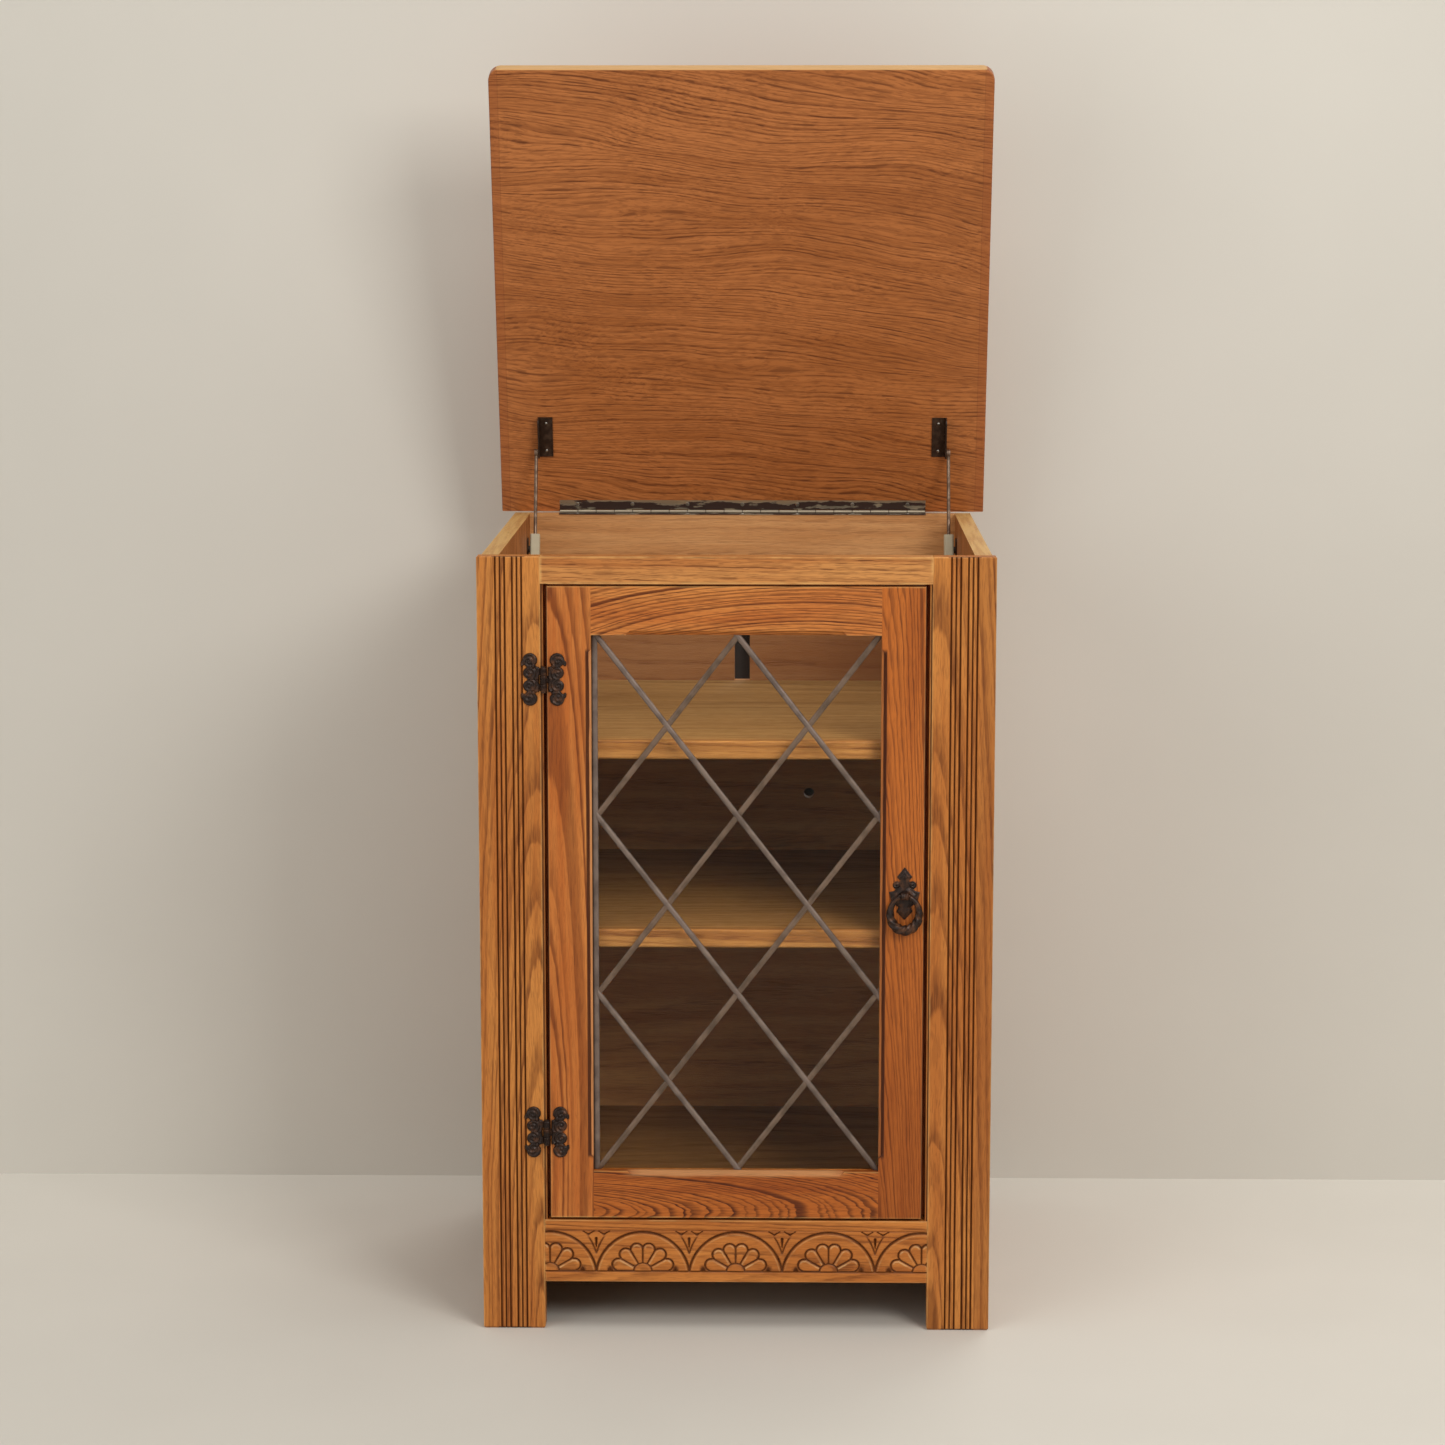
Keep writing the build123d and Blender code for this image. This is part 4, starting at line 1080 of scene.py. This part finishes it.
for height in ("upper", "lower"):
    barrel = middle_of(f"{height}_hinge_pin")
    for leaf, body, spans, side in (
        ("post_leaf", "carcass", ((-12.4, -4.5), (4.5, 12.4)), -1),
        ("door_leaf", "door", ((-4.1, 4.1),), 1),
    ):

        def leaf_outline(x, z):
            """The leaf seen from the front, the barrel's axis at x = 0."""
            away = block(x, z, 10.9, 0, 6.0, 14.5)
            for up in (-1, 1):
                away = fused(away, circle(x, z, 15.3, 6.8 * up, 6.1), 0.8)
                away = fused(away, circle(x, z, 14.1, 20.0 * up, 7.7), 0.8)
                away = fused(away, circle(x, z, 21.2, 17.2 * up, 2.6), 1.2)
                away = fused(away, circle(x, z, 22.4, 15.2 * up, 1.3), 1.0)
                away = np.maximum(away, -circle(x, z, 20.2, 13.6 * up, 1.5))
                away = np.maximum(away, -circle(x, z, 6.2, 15.2 * up, 2.0))
            for foot, top in spans:
                half = (top - foot) / 2 - 0.3
                away = np.minimum(away, block(x, z, 3.4, (foot + top) / 2, 2.2, half))
            return away

        pieces = [casting("leaf", leaf_outline, scrolls, 24.5, -28, 28)]
        for foot, top in spans:
            profile = [(1.55, foot), (3.4, foot), (3.9, foot + 0.5)]
            rings = round((top - foot) / 2)
            for ring in range(rings):
                at = foot + 0.9 + (top - foot - 1.8) * (ring + 0.5) / rings
                profile += [(3.9, at - 0.55), (3.45, at - 0.2), (3.45, at + 0.2), (3.9, at + 0.55)]
            profile += [(3.9, top - 0.5), (3.4, top), (1.55, top), (1.55, foot)]
            pieces.append(turned("knuckle", profile, (0, -3.2, 0), (0, 0, 1)))
        hinge = joined(pieces, f"{height}_{leaf}_casting")
        set_in_place(hinge, (barrel.x, post_face, barrel.z), side)
        smooth(50)
        rides(hinge, body, iron)
        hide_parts(f"{height}_hinge_{leaf}")

# Ring pull: a cast backplate with a pointed leaf at the top, a curl at each side, sloping
# shoulders and a diamond drop below, and a boss that holds the twisted ring.
pull_spot = middle_of("pull_bolt")
pull_spot.y = post_face
ring_out = 8.0
half_pull = [
    (0, 30.3), (8.4, 19.4), (5.2, 15.6), (5.2, 8.5), (11.5, 4.6), (16.6, 3.4), (14.0, -7.0),
    (6.6, -13.0), (8.8, -17.6), (0, -27.0),
]
pull_corners = half_pull + [(-x, z) for x, z in reversed(half_pull[1:-1])]


def pull_outline(x, z):
    """The backplate seen from the front, the ring's axis at the origin."""
    near = np.full(x.shape, 1e9)
    crossings = np.zeros(x.shape, dtype=int)
    for (x0, z0), (x1, z1) in zip(pull_corners, pull_corners[1:] + pull_corners[:1]):
        ex, ez = x1 - x0, z1 - z0
        share = np.clip(((x - x0) * ex + (z - z0) * ez) / (ex * ex + ez * ez), 0, 1)
        near = np.minimum(near, np.hypot(x - x0 - share * ex, z - z0 - share * ez))
        straddles = (z0 > z) != (z1 > z)
        crossings += straddles & (x < x0 + (z - z0) * ex / (ez if ez else 1e-9))
    away = np.where(crossings % 2 == 1, -near, near)
    for side in (-1, 1):
        away = fused(away, circle(x, z, 8.2 * side, 10.6, 4.5), 1.6)
    return away + 0.3


def pull_relief(x, z, inside):
    """Thickness of the backplate: leaf veins, curls, fluted shoulders and a faceted drop."""
    x = np.abs(x)
    body = 0.9 + 0.36 * np.clip(inside, 0, 4.2)
    veins = peak(x, 0.7) + peak(x * 1.3 + z - 27, 0.9) + peak(x * 1.3 + z - 22.5, 0.9)
    body = body - 0.55 * veins * (z > 15.5) * step(inside, 1)
    curl = np.hypot(x - 8.2, z - 10.8)
    turn = np.arctan2(z - 10.8, x - 8.2) / math.tau
    body = body + 0.5 * np.cos(math.tau * (curl / 3.2 - turn)) * step(4.6 - curl, 1)
    flutes = np.cos(np.arctan2(x, 12 - z) * 12) * step(z + 9, 2) * step(7 - z, 2)
    return body + 0.35 * flutes * step(x - 4.5, 1.5) * step(inside, 1.2)


pieces = [casting("backplate", pull_outline, pull_relief, 19, -28, 31)]
half_boss = [(3.6, 1.2), (4, 1.6), (4, 3.4), (3.2, 4), (0, 4)]
boss = [(r, -along) for r, along in reversed(half_boss)] + half_boss
pieces.append(turned("boss", boss, (0, -ring_out, 0), (1, 0, 0), 28))
pieces.append(eased_block((0, -4.2, 0), (6.6, 8, 7.2), 0.8, 3))
backplate = joined(pieces, "pull_backplate_casting")
set_in_place(backplate, pull_spot)
smooth(45)
rides(backplate, "door", iron)
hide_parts("pull_backplate")

# The ring: one square bar, thin and plain at the boss, thick below where it was twisted red hot.
# It is made in millimetres, its ends where the bar leaves the sides of the boss.
ring_half_width = 15.2
ring_half_height = 18.2
boss_half_length = 4.0
thin, thick = 2.2, 5.1
deselect()
bpy.ops.mesh.primitive_grid_add(x_subdivisions=200, y_subdivisions=36, size=1)
ring = bpy.context.object
ring.name = "twisted_pull_ring"
points = corners(ring)
start = math.asin((boss_half_length + 0.4 + thin / 2) / ring_half_width)
turn = start + (points[:, 0] + 0.5) * (math.tau - 2 * start)
around = (points[:, 1] + 0.5) * math.tau
lower = step(math.radians(115) - np.abs(turn - math.pi), math.radians(35))
twist = (turn - math.pi) * 3.0
swell = 1 + 0.12 * lower * np.cos(4 * (around - twist))
bar = (thin + (thick - thin) * (np.sin(turn / 2) ** 2) ** 0.8) * swell
along_x, along_z = ring_half_width * np.cos(turn), -ring_half_height * np.sin(turn)
length = np.hypot(along_x, along_z)
out_x, out_z = -along_z / length, along_x / length
points[:, 0] = ring_half_width * np.sin(turn) + bar * np.cos(around) * out_x
points[:, 1] = -ring_out + np.clip(bar * np.sin(around) * 0.95, -4.85, 4.85)
points[:, 2] = ring_half_height * (np.cos(turn) - 1) + bar * np.cos(around) * out_z
ring.data.vertices.foreach_set("co", points.ravel())
edit_whole()
bpy.ops.mesh.remove_doubles(threshold=0.01)
select_rim(ring)
close_rim()
pin_profile = [(0, -6.0), (1.45, -6.0), (1.45, 6.0), (0, 6.0)]
pin = turned("ring_pin", pin_profile, (0, -ring_out, 0), (1, 0, 0), 20)
ring = joined([ring, pin], "twisted_pull_ring")
set_in_place(ring, pull_spot)
smooth(50)
rides(ring, "ring", iron)
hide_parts("pull_ring")

# Bright steel: the pull's bolt and nut, turned and milled, the door's pressed strike plate and
# the drawn pin of the piano hinge, all a little dull and scuffed.
steel = mottled(
    "dull steel", (160, 4, 0.35, 0.7), (176, 172, 164), (132, 126, 116),
    (160, 4, 0.28, 0.5), 1.0, (700, 2), 0.00005,
)
for name in ("pull_bolt", "pull_nut", "strike_plate", "piano_hinge_pin"):
    dress(name, steel)


# Magnetic catch: a dark brown moulded plastic housing, screwed under the upper shelf, with its
# two steel poles set in it.
def patched(name, noise, first, second, sheen, relief, limits=None, metallic=0.0):
    """A finish of two colours whose sheen and relief follow the same patches, which are soft or
    have edges between two limits of their noise."""
    finish, tree, shader, place = new_finish(name)
    patches = blotches(tree, place, *noise)
    reach = (0.3, 0.7)
    if limits:
        patches = ramp(tree, patches, *limits)
        reach = (0, 1)
    shade = blend(tree, patches, colour(*first), colour(*second))
    sheen = ramp(tree, patches, *reach, *sheen)
    fill(tree, shader.inputs, {"Base Color": shade, "Roughness": sheen, "Metallic": metallic})
    bump(tree, shader, patches, relief)
    return finish


plastic = patched("brown moulded plastic", (900, 2), (70, 46, 30), (84, 56, 38), (0.4, 0.55), 0.00005)
dress("magnetic_catch", plastic)

# Piano hinge: plated steel, rolled round its pin, its plating worn through in dark brown and
# black patches on the leaves, bright on the knuckles. One leaf is let into the back board.
pin_line = middle_of("piano_hinge_pin")
half_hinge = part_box("piano_hinge_pin")[1][0]
knuckle_pitch = half_hinge * 2 / 20
worn_plate, tree, shader, place = new_finish("worn plated steel")
x, y, z = placed(tree)[1:]
drawn = put(tree, "ShaderNodeMapping", {"Vector": place, "Scale": (36, 150, 150)})
far_edge = ramp(tree, z, pin_line.z + 0.0095, pin_line.z + 0.0135, 0, 0.2)
patches = maths(tree, "SUBTRACT", blotches(tree, drawn, 1, 6), far_edge)
patches = ramp(tree, patches, 0.4, 0.46)
behind = maths(tree, "POWER", maths(tree, "SUBTRACT", y, pin_line.y), 2)
down = maths(tree, "POWER", maths(tree, "SUBTRACT", z, pin_line.z), 2)
from_pin = maths(tree, "SQRT", maths(tree, "ADD", behind, down))
patches = times(tree, patches, ramp(tree, from_pin, 0.0021, 0.0026))
along = maths(tree, "DIVIDE", maths(tree, "ADD", x, half_hinge), knuckle_pitch)
from_middle = maths(tree, "SUBTRACT", maths(tree, "FRACT", along), 0.5)
joints = ramp(tree, maths(tree, "ABSOLUTE", from_middle), 0.465, 0.485)
joints = times(tree, joints, ramp(tree, from_pin, 0.0026, 0.0032, 1, 0))
patches = maths(tree, "MAXIMUM", patches, joints)
feeds = {
    "Base Color": blend(tree, patches, colour(176, 164, 142), colour(56, 36, 28)),
    "Roughness": ramp(tree, patches, 0, 1, 0.28, 0.6),
    "Metallic": ramp(tree, patches, 0, 1, 0.7, 0.1),
}
fill(tree, shader.inputs, feeds)
bump(tree, shader, patches, 0.00008)
dress("piano_hinge_fixed_leaf", worn_plate)
dress("piano_hinge_lid_leaf", worn_plate)

# Screws of the piano hinge: seven countersunk steel screws in each leaf, flush but for a shallow
# crown, their slots left as the driver stopped.
lid_angle = math.radians(73)
lid_up = Vector((0, -math.cos(lid_angle), math.sin(lid_angle)))
under = Vector((0, -math.sin(lid_angle), -math.cos(lid_angle)))
leaf_drop = pin_line.z - rim_height
screw_pitch = 0.0643
screw_radius = 0.0024
lid_row, back_row = 0.0088, 0.0082


def face_on(spot, outwards):
    """The move that sets a piece made round z onto a face that looks outwards."""
    return Matrix.Translation(spot) @ Vector(outwards).to_track_quat("Z", "Y").to_matrix().to_4x4()


def screw(name, spot, outwards, radius, slot_turn, proud=0.0006):
    """A countersunk screw head with a shallow crown and a slot, its middle at a spot of a face."""
    deselect()
    bpy.ops.mesh.primitive_cylinder_add(vertices=28, radius=radius, depth=proud * 2)
    head = bpy.context.object
    head.name = name
    bpy.ops.object.mode_set(mode="EDIT")
    form = bmesh.from_edit_mesh(head.data)
    for edge in form.edges:
        edge.select_set(all(v.co.z > 0 for v in edge.verts))
    bpy.ops.mesh.bevel(offset=proud * 0.6, segments=3)
    for side in (-1, 1):
        bpy.ops.mesh.select_all(action="SELECT")
        bpy.ops.mesh.bisect(plane_co=(0, side * radius * 0.16, 0), plane_no=(0, 1, 0))
    bpy.ops.mesh.select_all(action="DESELECT")
    form = bmesh.from_edit_mesh(head.data)
    for face in form.faces:
        middle = face.calc_center_median()
        face.select_set(face.normal.z > 0.2 and abs(middle.y) < radius * 0.15)
    bpy.ops.mesh.extrude_region_move(TRANSFORM_OT_translate={"value": (0, 0, -proud * 0.8)})
    bpy.ops.object.mode_set(mode="OBJECT")
    head.data.transform(face_on(spot, outwards) @ Matrix.Rotation(slot_turn, 4, "Z"))
    smooth(40)
    return head


heads = []
fixed_heads = []
for number in range(7):
    across = (number - 3) * screw_pitch
    spot = pin_line + Vector((across, 0, 0)) + lid_up * lid_row - under * leaf_drop
    heads.append(screw("lid_hinge_screw", spot, under, screw_radius, number * 1.9))
    spot = pin_line + Vector((across, -back_row, -leaf_drop))
    fixed_heads.append(screw("back_hinge_screw", spot, (0, 0, 1), screw_radius, number * 2.3))
rides(joined(heads, "lid_hinge_screws"), "lid", steel)
rides(joined(fixed_heads, "back_hinge_screws"), "carcass", steel)

# Lid: veneered board with solid oak edges, the grain across the cabinet, reddish brown, its
# long pores wavy and dark. Its far edge is worn pale, with a painted highlight.
half_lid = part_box("lid_board")[1][0]
lid_veneer, tree, shader, place = new_finish("oak veneer of the lid")
feeds = {"Vector": place, "Rotation": (-lid_angle, 0, math.radians(5))}
board = put(tree, "ShaderNodeMapping", feeds)
lid_tint = ((190, 118, 64), (168, 100, 50), (116, 60, 25))
wood = figured(tree, board, 91.0, 0.0042, (-0.4, 0.12), 0.06, 0.036, lid_tint, 0.62, 0.75)
across = maths(tree, "ABSOLUTE", placed(tree)[1])
from_side = maths(tree, "SUBTRACT", half_lid, across)
lipping = ramp(tree, from_side, 0.0096, 0.0102, 1, 0)
joint = between(tree, from_side, 0.0094, 0.0100, 0.0101, 0.0108)
along = vectors(tree, "DOT_PRODUCT", place, tuple(lid_up), output=1)
far_edge = max(lid_up.dot(v.co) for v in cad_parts["lid_board"].data.vertices)
worn_and_lit_edge = ramp(tree, along, far_edge - 0.0016, far_edge - 0.0006)
shade = blend(tree, times(tree, lipping, 0.35), wood["Color"], colour(150, 82, 42))
shade = blend(tree, times(tree, joint, 0.3), shade, colour(96, 50, 24))
# The far edge: wear with a painted highlight.
shade = blend(tree, times(tree, worn_and_lit_edge, 0.7), shade, colour(216, 176, 116))
waxed(tree, shader, shade, wood, 0.0002)
dress("lid_board", lid_veneer)

# Lid stays: pressed brackets and drawn rods with a dark bronzed finish, cream nylon friction
# blocks. Each lid bracket has two bright rivets, each side bracket two screws.
bronzed = patched(
    "bronzed pressed steel", (180, 4), (52, 37, 29), (78, 59, 45), (0.35, 0.55), 0.00005,
    limits=(0.4, 0.75), metallic=0.5,
)
drawn_rod = patched(
    "worn drawn steel", (120, 3), (104, 82, 66), (138, 116, 98), (0.5, 0.35), 0.00004,
    limits=(0.35, 0.65), metallic=0.6,
)
nylon = patched("cream nylon", (90, 3), (206, 200, 174), (184, 176, 146), (0.4, 0.52), 0.00005)
dome = [(0, 0.9), (0.9, 0.75), (1.6, 0.25), (1.8, -0.3), (0, -0.3)]
flange_out, flange_thick = 0.2272, 0.0015
plate_out, plate_screw_z = 0.2465, 0.7705
for side, sign in (("left", -1), ("right", 1)):
    dress(f"{side}_stay_lid_bracket", bronzed)
    dress(f"{side}_stay_side_bracket", bronzed)
    dress(f"{side}_stay_rod", drawn_rod)
    dress(f"{side}_stay_block", nylon)
    on_flange = pin_line + Vector((sign * flange_out, 0, 0)) + under * (flange_thick - leaf_drop)
    rivets = []
    for along in (0.0762, 0.1098):
        rivet = turned("rivet", dome, (0, 0, 0), (0, 0, 1), 20)
        rivet.data.transform(face_on(on_flange + lid_up * along, under) @ Matrix.Scale(0.001, 4))
        rivets.append(rivet)
    rivets = joined(rivets, f"{side}_bracket_rivets")
    smooth(50)
    rides(rivets, "lid", steel)
    pair = []
    for y, slot_turn in ((0.1845, 0.7), (0.1935, 2.0)):
        spot = (sign * plate_out, y, plate_screw_z)
        pair.append(screw("bracket_screw", spot, (-sign, 0, 0), 0.0022, slot_turn))
    rides(joined(pair, f"{side}_bracket_screws"), "carcass", steel)
